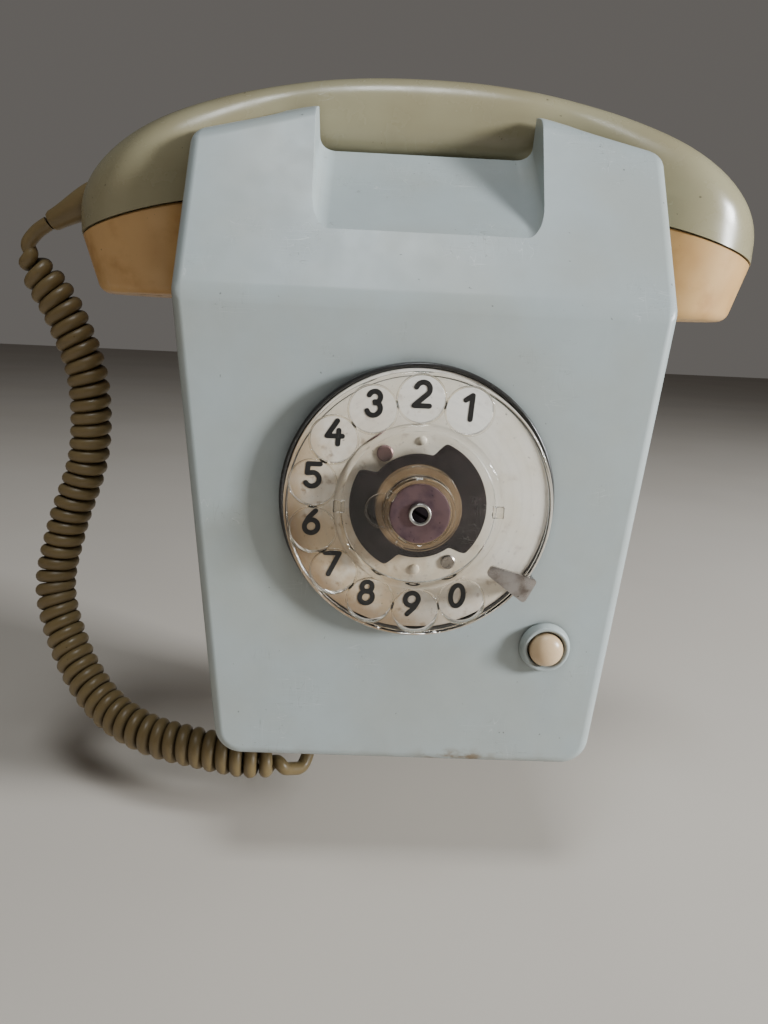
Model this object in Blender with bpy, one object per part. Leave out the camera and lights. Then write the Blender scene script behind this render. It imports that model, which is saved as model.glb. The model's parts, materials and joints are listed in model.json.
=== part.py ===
"""Rotary wall phone: a moulded case on a wall plate, a rotary dial with its mechanism, a push button,
a hook switch, a ringer, and a handset on a coiled cord.

The origin is where the dial's axis meets the wall. +X is the viewer's right, +Z is up, and the front
faces -Y. Every length here is in millimetres, and mesh_object() turns them into Blender's metres.
Depths are distances in front of the wall, and heights given to up() are measured from the case's bottom.
"""

import math

import bmesh
import bpy
from mathutils import Matrix, Vector

MM = 0.001

# Case
DIAL_HEIGHT = 83.0
CASE_DEPTH = 88.0
CASE_BOTTOM_HALF = 58.0
CASE_TOP_HALF = 69.0
BOTTOM_CORNER_RADIUS = 8.5
CREASE_HEIGHT = 137.5
FACET_ANGLE = math.radians(31)
HORN_INNER_HALF = 34.1
HORN_OUTER_HEIGHT = 182.0
HORN_INNER_HEIGHT = 191.5
HORN_REAR_DEPTH = 46.5
HORN_REAR_RISE = 0.33
WALL = 2.8
EDGE_RADIUS = 3.2
NOTCH_HEIGHT = 156.0
NOTCH_BOTTOM_HALF = 32.4
NOTCH_TOP_HALF = 34.2
NOTCH_SLOPE = 0.83
NOTCH_CORNER_RADIUS = 5.0
SEAT_HEIGHT = 181.0
TROUGH_REAR_DEPTH = 16.0
POCKET_HALF = 43.0
POCKET_FLOOR_HEIGHT = 130.0
POCKET_FRONT_DEPTH = 54.5
POCKET_REAR_DEPTH = 2.8

# Wall plate
PLATE_THICKNESS = 3.0
PLATE_GAP = 0.4
PLATE_NECK_HALF = 39.5
PLATE_TOP_HEIGHT = 188.0
LUG_X = 34.0
LUG_DEPTH = 11.0

# Dial: ten holes, one fourteenth of a turn apart
HOLE_PITCH = 360.0 / 14
FIRST_HOLE_ANGLE = 65.7
HOLE_CIRCLE = 29.3
HOLE_RADIUS = 6.2
WHEEL_RADIUS = 36.5
WHEEL_FRONT = 99.4
WHEEL_THICKNESS = 1.9
HUB_RADIUS = 9.5
HUB_BORE = 8.5
HUB_FLANGE_BORE = 5.0
CLAMP_SEAT = 104.3
BASE_RADIUS = 38.5
PLATE_RADIUS = 37.0
CUP_RADIUS = 34.2
CUP_FLOOR_DEPTH = 76.0
CARRIER_LOBES = ((-52, 77), (141, 252))
STOP_INNER_RADIUS = 25.2
STOP_INNER_ANGLE = -38.0
STOP_SLANT = 12.0
STOP_LENGTH = 13.2
SHAFT_RADIUS = 3.0
FRAME_DEPTH = 42.5
POST_RADIUS = 30.0
GEAR_TEETH = 56
PINION_TEETH = 8
GEAR_MODULE = 0.75
GEAR_DEPTH = 66.0
PINION_ANGLE = math.radians(135)
WORM_DEPTH = 55.0
WORM_WHEEL_RADIUS = 8.0
WORM_RADIUS = 2.3

# Button
BUTTON_X = 40.7
BUTTON_HEIGHT = 39.8
BUTTON_RADIUS = 5.0
BEZEL_RADIUS = 7.6

# Handset
HANDSET_DEPTH = 31.0
CUP_X = 84.5
CUP_OUTER_RADIUS = 25.5
HANDSET_TOP = 206.5
HANDSET_END_HEIGHT = 161.0
HANDSET_HALF = 110.0
HANDLE_UNDERSIDE = 181.8
HANDLE_HALF_DEPTH = 13.0
HANDLE_STRAIGHT_HALF = 44.0
NECK_START = 38.0
PARTING_HEIGHT = 161.5
PARTING_SLOPE = math.tan(math.radians(15))
CAP_BOTTOM_HEIGHT = 137.0
CAP_BOTTOM_RADIUS = 19.5
SHELL_WALL = 3.0

# Cord
CORD_RADIUS = 2.3
COIL_RADIUS = 7.5
CORD_ENTRY_X = -30.0
CORD_ENTRY_DEPTH = 45.0

# Hook switch and ringer
PLUNGER_RADIUS = 4.0
HOOK_BRACKET_HEIGHT = 154.0
GONG_X = 21.0
GONG_HEIGHT = 134.0
GONG_RADIUS = 17.0
CLAPPER_PIVOT_HEIGHT = 119.0
RINGER_HALF = 39.0

GAP = 0.3

FRONT = Matrix.Rotation(math.radians(90), 4, "X")


def up(height):
    """The z of a point this far above the case's bottom."""
    return height - DIAL_HEIGHT


# ---------------------------------------------------------------- scene and materials


def clear_scene():
    for obj in list(bpy.data.objects):
        bpy.data.objects.remove(obj, do_unlink=True)


def material(name, colour, roughness, metallic=0.0, alpha=1.0):
    found = bpy.data.materials.get(name)
    if found:
        return found
    made = bpy.data.materials.new(name)
    made.use_nodes = True
    shader = made.node_tree.nodes["Principled BSDF"]
    shader.inputs["Base Color"].default_value = (*colour, 1.0)
    shader.inputs["Roughness"].default_value = roughness
    shader.inputs["Metallic"].default_value = metallic
    shader.inputs["Alpha"].default_value = alpha
    return made


CASE_PLASTIC = ("case_plastic", (0.46, 0.55, 0.53), 0.4)
HANDSET_PLASTIC = ("handset_plastic", (0.45, 0.42, 0.29), 0.3)
CREAM_PLASTIC = ("cream_plastic", (0.80, 0.62, 0.38), 0.35)
BUTTON_PLASTIC = ("button_plastic", (0.83, 0.74, 0.55), 0.35)
PLATE_ENAMEL = ("number_enamel", (0.78, 0.74, 0.64), 0.45)
CLEAR_PLASTIC = ("clear_plastic", (0.86, 0.87, 0.84), 0.15, 0.0, 0.4)
BLACK_PLASTIC = ("black_plastic", (0.02, 0.02, 0.02), 0.4)
DARK_METAL = ("dark_metal", (0.06, 0.06, 0.06), 0.5, 0.6)
CLAMP_METAL = ("clamp_metal", (0.28, 0.2, 0.2), 0.35, 0.9)
STEEL = ("steel", (0.62, 0.62, 0.6), 0.35, 1.0)
CHROME = ("chrome", (0.8, 0.8, 0.8), 0.12, 1.0)
BRASS = ("brass", (0.78, 0.6, 0.3), 0.3, 1.0)
PLATED_PLATE = ("plated_plate", (0.5, 0.5, 0.47), 0.4, 1.0)
CORD_RUBBER = ("cord_rubber", (0.30, 0.26, 0.17), 0.45)
COPPER_COIL = ("coil_wrap", (0.5, 0.22, 0.1), 0.5)
BOARD_LAMINATE = ("board_laminate", (0.33, 0.2, 0.09), 0.5)
CAPSULE_METAL = ("capsule_metal", (0.55, 0.55, 0.53), 0.4, 0.9)
CAN_METAL = ("can_metal", (0.62, 0.6, 0.55), 0.35, 0.9)
INSULATOR = ("insulator", (0.16, 0.12, 0.09), 0.6)


# ---------------------------------------------------------------- mesh tools


def mesh_object(name, bm, finish=INSULATOR, origin=(0, 0, 0)):
    """An object from millimetre geometry, with its origin at a point given in millimetres."""
    bmesh.ops.translate(bm, verts=bm.verts, vec=-Vector(origin))
    bmesh.ops.scale(bm, verts=bm.verts, vec=(MM, MM, MM))
    bmesh.ops.recalc_face_normals(bm, faces=bm.faces)
    mesh = bpy.data.meshes.new(name)
    bm.to_mesh(mesh)
    bm.free()
    mesh.materials.append(material(*finish))
    mesh.shade_smooth()
    mesh.set_sharp_from_angle(angle=math.radians(32))
    obj = bpy.data.objects.new(name, mesh)
    obj.location = Vector(origin) * MM
    bpy.context.scene.collection.objects.link(obj)
    return obj


def boolean(obj, other, operation="DIFFERENCE"):
    """Cuts other from obj, or joins it to obj, and keeps other out of the model."""
    modifier = obj.modifiers.new(other.name, "BOOLEAN")
    modifier.object = other
    modifier.operation = operation
    modifier.solver = "EXACT"
    other.hide_render = True
    other.display_type = "WIRE"
    return obj


def bridge(bm, first, second):
    """Faces between two rings, either of which may be a single point."""
    count = max(len(first), len(second))
    for i in range(count):
        j = (i + 1) % count
        if len(first) == 1:
            bm.faces.new((first[0], second[j], second[i]))
        elif len(second) == 1:
            bm.faces.new((first[i], first[j], second[0]))
        else:
            bm.faces.new((first[i], first[j], second[j], second[i]))


def loft(rings, bm=None):
    """A closed surface through rings of points, with flat ends."""
    bm = bm or bmesh.new()
    made = [[bm.verts.new(point) for point in ring] for ring in rings]
    for first, second in zip(made, made[1:]):
        bridge(bm, first, second)
    for end in (made[0], made[-1]):
        if len(end) > 2:
            bm.faces.new(end)
    return bm


def circle(radius, count, turn=0.0):
    steps = (turn + 2 * math.pi * i / count for i in range(count))
    return [(radius * math.cos(a), radius * math.sin(a)) for a in steps]


def turned(profile, segments, place=Matrix.Identity(4), bm=None):
    """A turned shape about Z, moved by place. The profile's (radius, height) points close on themselves,
    unless they start and end on the axis."""
    bm = bm or bmesh.new()
    rings = []
    for radius, height in profile:
        points = circle(radius, segments) if radius else [(0, 0)]
        rings.append([bm.verts.new(place @ Vector((x, y, height))) for x, y in points])
    pairs = list(zip(rings, rings[1:]))
    if profile[0][0]:
        pairs.append((rings[-1], rings[0]))
    for first, second in pairs:
        bridge(bm, first, second)
    return bm


def rod(radius, low, high, segments, place=Matrix.Identity(4), bm=None):
    profile = [(0, low), (radius, low), (radius, high), (0, high)]
    return turned(profile, segments, place, bm)


def tube_profile(inner, outer, low, high):
    return [(inner, low), (outer, low), (outer, high), (inner, high)]


def facing_front(x=0.0, z=0.0):
    """Turns heights along Z into depths in front of the wall, on an axis through x and z."""
    return Matrix.Translation((x, 0, z)) @ FRONT


def standing(x, depth, z=0.0):
    return Matrix.Translation((x, -depth, z))


def lying(depth, z):
    """Turns heights along Z into x, on an axis at this depth and height."""
    return Matrix.Translation((0, -depth, z)) @ Matrix.Rotation(math.radians(90), 4, "Y")


def block(x, depth, z, bm=None):
    """A box from (low, high) pairs; depth pairs are distances in front of the wall."""
    corners = [(x[0], z[0]), (x[1], z[0]), (x[1], z[1]), (x[0], z[1])]
    return prism(corners, depth[0], depth[1], bm)


def prism(outline, near, far, bm=None):
    """A front-view outline of (x, z) points, from one depth to another."""
    return loft([[(x, -depth, z) for x, z in outline] for depth in (near, far)], bm)


def rounded(corners, radius, steps=3):
    """The outline with each corner replaced by an arc."""
    outline = []
    for i, corner in enumerate(corners):
        here = Vector(corner)
        before = (Vector(corners[i - 1]) - here).normalized()
        after = (Vector(corners[(i + 1) % len(corners)]) - here).normalized()
        half = before.angle(after) / 2
        centre = here + (before + after).normalized() * (radius / math.sin(half))
        start = (here + before * (radius / math.tan(half)) - centre).normalized()
        end = (here + after * (radius / math.tan(half)) - centre).normalized()
        for step in range(steps + 1):
            outline.append(tuple(centre + start.slerp(end, step / steps) * radius))
    return outline


def hull(points):
    bm = bmesh.new()
    for point in points:
        bm.verts.new(point)
    bmesh.ops.convex_hull(bm, input=bm.verts)
    loose = [v for v in bm.verts if not v.link_faces]
    bmesh.ops.delete(bm, geom=loose, context="VERTS")
    flat = math.radians(1)
    bmesh.ops.dissolve_limit(bm, angle_limit=flat, verts=bm.verts, edges=bm.edges)
    return bm


def smooth_path(knots, per_span):
    """Points of a Catmull-Rom curve through the knots. A knot is any tuple of numbers."""
    ends = [knots[0], *knots, knots[-1]]
    path = []
    for a, b, c, d in zip(ends, ends[1:], ends[2:], ends[3:]):
        for step in range(per_span):
            t = step / per_span
            weights = (
                -0.5 * t + t**2 - 0.5 * t**3,
                1 - 2.5 * t**2 + 1.5 * t**3,
                0.5 * t + 2 * t**2 - 1.5 * t**3,
                -0.5 * t**2 + 0.5 * t**3,
            )
            path.append(tuple(sum(w * v for w, v in zip(weights, vs)) for vs in zip(a, b, c, d)))
    return [*path, knots[-1]]


def tube(path, radii, sides):
    """A closed round tube along a path, with its rings kept from twisting."""
    points = [Vector(p) for p in path]
    side = Vector((0, 1, 0))
    rings = []
    for i, point in enumerate(points):
        ahead = points[min(i + 1, len(points) - 1)] - points[max(i - 1, 0)]
        ahead.normalize()
        side = (side - ahead * side.dot(ahead)).normalized()
        other = ahead.cross(side)
        rings.append([point + side * x + other * y for x, y in circle(radii[i], sides)])
    return loft(rings)


def helix(radius, low, high, turns, wire, per_turn=8, sides=4):
    """A coil spring about Z."""
    count = turns * per_turn
    path = []
    for i in range(count + 1):
        angle = 2 * math.pi * i / per_turn
        height = low + (high - low) * i / count
        path.append((radius * math.cos(angle), radius * math.sin(angle), height))
    return tube(path, [wire] * len(path), sides)


def moved(bm, matrix):
    bmesh.ops.transform(bm, matrix=matrix, verts=bm.verts)
    return bm


def slotted_head(radius, low, high, shank_radius, shank_end):
    """A screw's profile: a flat head from low to high, and a shank down to shank_end."""
    return [
        (0, shank_end),
        (shank_radius, shank_end),
        (shank_radius, low),
        (radius, low),
        (radius, high - 0.4),
        (radius - 0.4, high),
        (0, high),
    ]


# ---------------------------------------------------------------- case


def facet_depth(height):
    """How far the front stands from the wall: level up to the crease, then sloping back."""
    return CASE_DEPTH - max(0.0, height - CREASE_HEIGHT) * math.tan(FACET_ANGLE)


def case_half(height):
    share = min(1.0, height / CREASE_HEIGHT)
    return CASE_BOTTOM_HALF + share * (CASE_TOP_HALF - CASE_BOTTOM_HALF)


def case_points(inset, back):
    """Corners of the case's outer form, or of its hollow when inset, from the wall side to the front."""
    points = []
    corner = BOTTOM_CORNER_RADIUS - inset / 2
    side_turn = math.atan2(CASE_TOP_HALF - CASE_BOTTOM_HALF, CREASE_HEIGHT)
    for side in (-1, 1):
        for step in range(5):
            angle = -math.pi / 2 + (math.pi / 2 - side_turn) * step / 4
            x = CASE_BOTTOM_HALF - inset - corner + corner * math.cos(angle)
            z = up(inset + corner + corner * math.sin(angle))
            points += [(side * x, back, z), (side * x, inset - CASE_DEPTH, z)]
        half = CASE_TOP_HALF - inset
        points += [(side * half, back, up(CREASE_HEIGHT))]
        points += [(side * half, inset - CASE_DEPTH, up(CREASE_HEIGHT - inset / 6))]
        horn = ((half, HORN_OUTER_HEIGHT), (HORN_INNER_HALF, HORN_INNER_HEIGHT))
        for x, height in horn:
            front = facet_depth(height) - inset * 1.4
            rear = height + (front - HORN_REAR_DEPTH) * HORN_REAR_RISE
            points.append((side * x, -front, up(height - inset)))
            points.append((side * x, -HORN_REAR_DEPTH, up(rear - inset)))
            points.append((side * x, back, up(rear - inset)))
    return points


def notch_cutter(name, grow):
    """The gap between the horns, with a floor that rises towards the wall."""
    bottom = up(NOTCH_HEIGHT) - grow
    top = up(NOTCH_HEIGHT + 95)
    flare = (NOTCH_TOP_HALF - NOTCH_BOTTOM_HALF) / (HORN_INNER_HEIGHT - NOTCH_HEIGHT)
    half = NOTCH_BOTTOM_HALF + grow
    top_half = half + flare * (top - bottom)
    corners = [(-half, bottom), (half, bottom), (top_half, top), (-top_half, top)]
    outline = rounded(corners, NOTCH_CORNER_RADIUS + grow, 4)
    rings = []
    for depth in (CASE_DEPTH + 12, HORN_REAR_DEPTH - 3):
        rise = (facet_depth(NOTCH_HEIGHT) - depth) * NOTCH_SLOPE
        rings.append([(x, -depth, z + rise) for x, z in outline])
    return mesh_object(name, loft(rings))


def pocket_cutter(name, grow):
    """Recesses behind the horns for the handset's two cups."""
    bm = bmesh.new()
    inner = POCKET_HALF - grow
    low = POCKET_FRONT_DEPTH + grow
    high = POCKET_REAR_DEPTH - grow
    for side in (-1, 1):
        corners = [(inner, -low), (110, -low), (110, -high), (inner, -high)]
        plan = [(side * x, y) for x, y in rounded(corners, 9.0, 4)]
        floor = up(POCKET_FLOOR_HEIGHT - grow)
        loft([[(x, y, z) for x, y in plan] for z in (floor, up(240))], bm)
    return mesh_object(name, bm)


def trough_cutter(name, grow):
    """The seat that the handset's handle lies in."""
    front = HORN_REAR_DEPTH + grow
    rear = TROUGH_REAR_DEPTH - grow
    seat = up(SEAT_HEIGHT) - grow
    corners = [(-front, seat), (-rear, seat), (-rear, up(240)), (-front, up(240))]
    profile = rounded(corners, 4.0, 3)
    return mesh_object(name, loft([[(x, y, z) for y, z in profile] for x in (-90, 90)]))


def screw_holes_cutter():
    bm = bmesh.new()
    for side in (-1, 1):
        rod(2.0 + GAP, up(-5), up(6), 12, standing(side * LUG_X, LUG_DEPTH), bm)
    return mesh_object("cut_case_screws", bm)


def build_case():
    case = mesh_object("case_shell", hull(case_points(0, 0)), CASE_PLASTIC)
    edges = case.modifiers.new("edges", "BEVEL")
    edges.width = EDGE_RADIUS * MM
    edges.segments = 3
    edges.limit_method = "ANGLE"
    edges.angle_limit = math.radians(40)
    hollow = mesh_object("cut_hollow", hull(case_points(WALL, 5)))
    for cutter in (notch_cutter, pocket_cutter, trough_cutter):
        boolean(case, cutter("cut_" + cutter.__name__, 0))
        boolean(hollow, cutter("keep_" + cutter.__name__, WALL))
    boolean(case, hollow)
    boolean(case, mesh_object("cut_dial_opening", rod(CUP_RADIUS + 0.6, 80, 95, 48, facing_front())))
    button = facing_front(BUTTON_X, up(BUTTON_HEIGHT))
    opening = rod(BUTTON_RADIUS + 1.5, 80, 95, 20, button)
    boolean(case, mesh_object("cut_button_opening", opening))
    boolean(case, screw_holes_cutter())
    grommet = rod(5.5, up(-5), up(6), 16, standing(CORD_ENTRY_X, CORD_ENTRY_DEPTH))
    boolean(case, mesh_object("cut_grommet_opening", grommet))
    axis = standing(0, HANDSET_DEPTH)
    plunger = rod(PLUNGER_RADIUS + 0.4, up(SEAT_HEIGHT - 9), up(SEAT_HEIGHT + 9), 16, axis)
    boolean(case, mesh_object("cut_plunger_opening", plunger))
    return case


def build_wall_plate():
    edge = WALL + PLATE_GAP
    shoulder = POCKET_FLOOR_HEIGHT - WALL - 3
    right = [
        (case_half(edge) - edge - BOTTOM_CORNER_RADIUS, edge),
        (case_half(edge + BOTTOM_CORNER_RADIUS) - edge - 2, edge + BOTTOM_CORNER_RADIUS),
        (case_half(shoulder) - edge - 2, shoulder),
        (PLATE_NECK_HALF, shoulder),
        (PLATE_NECK_HALF, PLATE_TOP_HEIGHT),
    ]
    left = [(-x, height) for x, height in reversed(right)]
    outline = [(x, up(height)) for x, height in right + left]
    plate = mesh_object("wall_plate", prism(outline, 0, PLATE_THICKNESS), PLATED_PLATE)
    lugs = bmesh.new()
    for side in (-1, 1):
        x = (side * LUG_X - 5, side * LUG_X + 5)
        block(x, (PLATE_THICKNESS - 1, LUG_DEPTH + 5), (up(edge), up(11)), lugs)
    boolean(plate, mesh_object("join_lugs", lugs), "UNION")
    posts = bmesh.new()
    for x in (-40, 40):
        for height in (18, 60):
            rod(2.5, PLATE_THICKNESS - 1, 10, 8, facing_front(x, up(height)), posts)
    boolean(plate, mesh_object("join_board_posts", posts), "UNION")
    holes = bmesh.new()
    for side in (-1, 1):
        rod(2.0 + GAP, up(0), up(15), 12, standing(side * LUG_X, LUG_DEPTH), holes)
        rod(2.6, -2, 6, 12, facing_front(side * 30, up(158)), holes)
        rod(2.6, -2, 6, 12, facing_front(side * 22, up(30)), holes)
    return boolean(plate, mesh_object("cut_plate_holes", holes))


def build_case_screws():
    for side, name in ((-1, "case_screw_left"), (1, "case_screw_right")):
        profile = slotted_head(3.5, -up(-GAP), -up(-2.3), 2.0, -up(10))
        flipped = [(radius, -height) for radius, height in profile]
        mesh_object(name, turned(flipped, 12, standing(side * LUG_X, LUG_DEPTH)), STEEL)


# ---------------------------------------------------------------- dial


def polar(radius, degrees):
    angle = math.radians(degrees)
    return radius * math.cos(angle), radius * math.sin(angle)


def build_dial_base():
    rim_back = CASE_DEPTH + GAP
    profile = [
        (BASE_RADIUS, rim_back),
        (BASE_RADIUS, 92.2),
        (BASE_RADIUS - 0.5, 92.8),
        (PLATE_RADIUS + GAP, 92.8),
        (PLATE_RADIUS + GAP, 90.6),
        (31.5, 90.6),
        (31.5, CUP_FLOOR_DEPTH + 2),
        (SHAFT_RADIUS + 0.5, CUP_FLOOR_DEPTH + 2),
        (SHAFT_RADIUS + 0.5, CUP_FLOOR_DEPTH),
        (CUP_RADIUS, CUP_FLOOR_DEPTH),
        (CUP_RADIUS, rim_back),
    ]
    base = mesh_object("dial_base_ring", turned(profile, 36, facing_front()), BLACK_PLASTIC)
    x, z = pinion_centre()
    holes = rod(1.6, CUP_FLOOR_DEPTH - 3, CUP_FLOOR_DEPTH + 5, 12, facing_front(x, z))
    return boolean(base, mesh_object("cut_pinion_bearing", holes))


def build_number_plate():
    profile = tube_profile(9, PLATE_RADIUS, 90.9, 91.9)
    mesh_object("number_plate", turned(profile, 36, facing_front()), PLATE_ENAMEL)


def build_finger_wheel():
    back = WHEEL_FRONT - WHEEL_THICKNESS
    profile = [
        (HUB_BORE, back),
        (WHEEL_RADIUS, back + 0.4),
        (WHEEL_RADIUS, WHEEL_FRONT),
        (23.0, WHEEL_FRONT),
        (22.7, WHEEL_FRONT + 1.6),
        (21.4, WHEEL_FRONT + 1.6),
        (21.1, WHEEL_FRONT),
        (HUB_RADIUS + 2.2, WHEEL_FRONT),
        (HUB_RADIUS + 2.0, WHEEL_FRONT + 1.8),
        (HUB_RADIUS + 0.2, WHEEL_FRONT + 2.2),
        (HUB_RADIUS, CLAMP_SEAT + 1.8),
        (HUB_BORE, CLAMP_SEAT + 1.8),
        (HUB_BORE, CLAMP_SEAT),
        (HUB_FLANGE_BORE, CLAMP_SEAT),
        (HUB_FLANGE_BORE, CLAMP_SEAT - 1.2),
        (HUB_BORE, CLAMP_SEAT - 1.2),
    ]
    wheel = mesh_object("finger_wheel", turned(profile, 40, facing_front()), CLEAR_PLASTIC)
    holes = bmesh.new()
    for digit in range(10):
        x, z = polar(HOLE_CIRCLE, FIRST_HOLE_ANGLE + digit * HOLE_PITCH)
        rod(HOLE_RADIUS, back - 3, WHEEL_FRONT + 3, 16, facing_front(x, z), holes)
    boolean(wheel, mesh_object("cut_finger_holes", holes))


def carrier_outline():
    """Two broad lobes with rounded shoulders, one at the right and one at the left."""
    outline = []
    for angle in range(-90, 270, 5):
        inside = max(min(angle - start, end - angle) for start, end in CARRIER_LOBES)
        outline.append(polar(14.5 + 4.3 * smoothstep(inside, 0, 10), angle))
    return outline


def build_dial_rotor():
    carrier = mesh_object("wheel_carrier", prism(carrier_outline(), 95.6, 97.0), DARK_METAL)
    boolean(carrier, mesh_object("cut_carrier", rod(4.6, 90, 104, 20, facing_front())))
    back = CLAMP_SEAT + GAP
    rim = HUB_BORE - 0.5
    disc = [
        (0, back),
        (rim, back),
        (rim, back + 1.2),
        (rim - 0.4, back + 1.6),
        (3.4, back + 0.9),
        (0, back + 0.9),
    ]
    mesh_object("clamp_disc", turned(disc, 32, facing_front()), CLAMP_METAL)
    seat = back + 1.2
    screw = slotted_head(2.9, seat, seat + 1.4, 2.9, seat)[2:]
    head = mesh_object("centre_screw", turned([(0, seat), *screw[1:]], 20, facing_front()), STEEL)
    slot = block((-4, 4), (seat + 0.8, seat + 3), (-0.35, 0.35))
    slot = moved(slot, Matrix.Rotation(math.radians(30), 4, "Y"))
    boolean(head, mesh_object("cut_screw_slot", slot))
    shaft = [
        (0, FRAME_DEPTH - 1),
        (SHAFT_RADIUS, FRAME_DEPTH - 1),
        (SHAFT_RADIUS, 94.6),
        (4.2, 94.6),
        (4.2, CLAMP_SEAT),
        (0, CLAMP_SEAT),
    ]
    mesh_object("dial_shaft", turned(shaft, 24, facing_front()), STEEL)
    gear = prism(gear_outline(GEAR_TEETH, 0.0), GEAR_DEPTH, GEAR_DEPTH + 2)
    wheel = mesh_object("drive_gear", gear, BRASS)
    bore = rod(SHAFT_RADIUS + GAP, GEAR_DEPTH - 5, GEAR_DEPTH + 5, 24, facing_front())
    boolean(wheel, mesh_object("cut_gear_bore", bore))


def gear_outline(teeth, turn):
    """Trapezoid teeth with room at the tips and flanks; turn is the angle of one tooth's middle."""
    pitch_radius = GEAR_MODULE * teeth / 2
    tip = pitch_radius + 0.8 * GEAR_MODULE
    root = pitch_radius - 1.15 * GEAR_MODULE
    step = 2 * math.pi / teeth
    outline = []
    for tooth in range(teeth):
        middle = turn + tooth * step
        for radius, offset in ((root, -0.31), (tip, -0.11), (tip, 0.11), (root, 0.31)):
            angle = middle + offset * step
            outline.append((radius * math.cos(angle), radius * math.sin(angle)))
    return outline


def pinion_centre():
    distance = GEAR_MODULE * (GEAR_TEETH + PINION_TEETH) / 2
    return distance * math.cos(PINION_ANGLE), distance * math.sin(PINION_ANGLE)


def build_pinion_group():
    x, z = pinion_centre()
    origin = (x, -GEAR_DEPTH, z)
    gap_faces_gear = PINION_ANGLE + math.pi + math.pi / PINION_TEETH
    outline = [(x + a, z + b) for a, b in gear_outline(PINION_TEETH, gap_faces_gear)]
    pinion = mesh_object("pinion", prism(outline, GEAR_DEPTH - 1, GEAR_DEPTH + 3), BRASS, origin)
    axle = rod(1.2, FRAME_DEPTH - 1, CUP_FLOOR_DEPTH + 1, 12, facing_front(x, z))
    boolean(pinion, mesh_object("join_pinion_axle", axle), "UNION")
    cam = [(x + (3.4 + 2.4 * abs(math.cos(a)) ** 3) * math.cos(a),
            z + (3.4 + 2.4 * abs(math.cos(a)) ** 3) * math.sin(a))
           for a in (2 * math.pi * i / 24 for i in range(24))]
    lobes = mesh_object("impulse_cam", prism(cam, 60.5, 62.0), INSULATOR, origin)
    worm = mesh_object("worm_wheel", rod(WORM_WHEEL_RADIUS, WORM_DEPTH - 1, WORM_DEPTH + 1, 32,
                                         facing_front(x, z)), BRASS, origin)
    for piece in (lobes, worm):
        bore = rod(1.5, 50, 65, 12, facing_front(x, z))
        boolean(piece, mesh_object("cut_bore_" + piece.name, bore))


def governor_height():
    return pinion_centre()[1] - WORM_WHEEL_RADIUS - WORM_RADIUS - 0.4


def build_governor():
    x = pinion_centre()[0]
    z = governor_height()
    axis = lying(WORM_DEPTH, z)
    origin = (0, -WORM_DEPTH, z)
    spindle = [(0, -29), (0.9, -29), (0.9, x - 5), (WORM_RADIUS, x - 5), (WORM_RADIUS, x + 5),
               (0.9, x + 5), (0.9, 26), (0, 26)]
    mesh_object("governor_spindle", turned(spindle, 12, axis), STEEL, origin)
    weights = bmesh.new()
    turned(tube_profile(1.2, 6.2, 10, 12), 20, axis, weights)
    hub = mesh_object("governor_weights", weights, BRASS, origin)
    arms = bmesh.new()
    for side in (-1, 1):
        inner, outer = sorted((side * 3.6, side * 6.0))
        block((11, 19), (WORM_DEPTH - 2, WORM_DEPTH + 2), (z + inner, z + outer), arms)
    boolean(hub, mesh_object("join_weights", arms), "UNION")
    drum = mesh_object("governor_drum", turned(tube_profile(7.0, 8.2, 13, 22), 24, axis), STEEL)
    closed_end = turned(tube_profile(1.4, 8.2, 21, 23), 24, axis)
    boolean(drum, mesh_object("join_drum_end", closed_end), "UNION")


def build_dial_frame():
    frame = mesh_object("dial_frame", rod(33, FRAME_DEPTH, FRAME_DEPTH + 1.5, 36, facing_front()), STEEL)
    posts = bmesh.new()
    for degrees in (20, 200, 285):
        x, z = polar(POST_RADIUS, degrees)
        rod(2.2, FRAME_DEPTH + 0.5, CUP_FLOOR_DEPTH - GAP, 10, facing_front(x, z), posts)
    boolean(frame, mesh_object("join_frame_posts", posts), "UNION")
    holes = bmesh.new()
    rod(SHAFT_RADIUS + 0.4, 30, 50, 20, facing_front(), holes)
    x, z = pinion_centre()
    rod(1.6, 30, 50, 12, facing_front(x, z), holes)
    boolean(frame, mesh_object("cut_frame_bearings", holes))
    z = governor_height()
    brackets = bmesh.new()
    for low in (-31.5, 24.5):
        block((low, low + 1.5), (FRAME_DEPTH + 0.5, WORM_DEPTH + 3), (z - 2.5, z + 2.5), brackets)
    plates = mesh_object("join_governor_brackets", brackets)
    boolean(plates, mesh_object("cut_governor_bearings", rod(1.3, -40, 40, 12, lying(WORM_DEPTH, z))))
    boolean(frame, plates, "UNION")


def build_return_spring():
    """A flat spiral from near the shaft out to the cup's floor."""
    turns, inner, outer, strip = 3.5, 4.6, 15.0, 0.7
    count = 42
    near, far = [], []
    for i in range(count + 1):
        angle = 2 * math.pi * turns * i / count
        radius = inner + (outer - inner) * i / count
        near.append((radius * math.cos(angle), radius * math.sin(angle)))
        far.append(((radius + strip) * math.cos(angle), (radius + strip) * math.sin(angle)))
    bm = bmesh.new()
    rings = []
    for a, b in zip(near, far):
        rings.append([(a[0], -70.0, a[1]), (b[0], -70.0, b[1]), (b[0], -74.5, b[1]), (a[0], -74.5, a[1])])
    mesh_object("return_spring", loft(rings, bm), STEEL)


def build_impulse_contacts():
    x, z = pinion_centre()
    stack = block((x - 10.5, x - 6.6), (57, 65), (z + 10, z + 15))
    contacts = mesh_object("impulse_contacts", stack, INSULATOR)
    blades = bmesh.new()
    for left in (x - 7.6, x - 9.8):
        block((left, left + 0.5), (59, 63), (z - 9, z + 11), blades)
    boolean(contacts, mesh_object("join_contact_blades", blades), "UNION")


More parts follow.
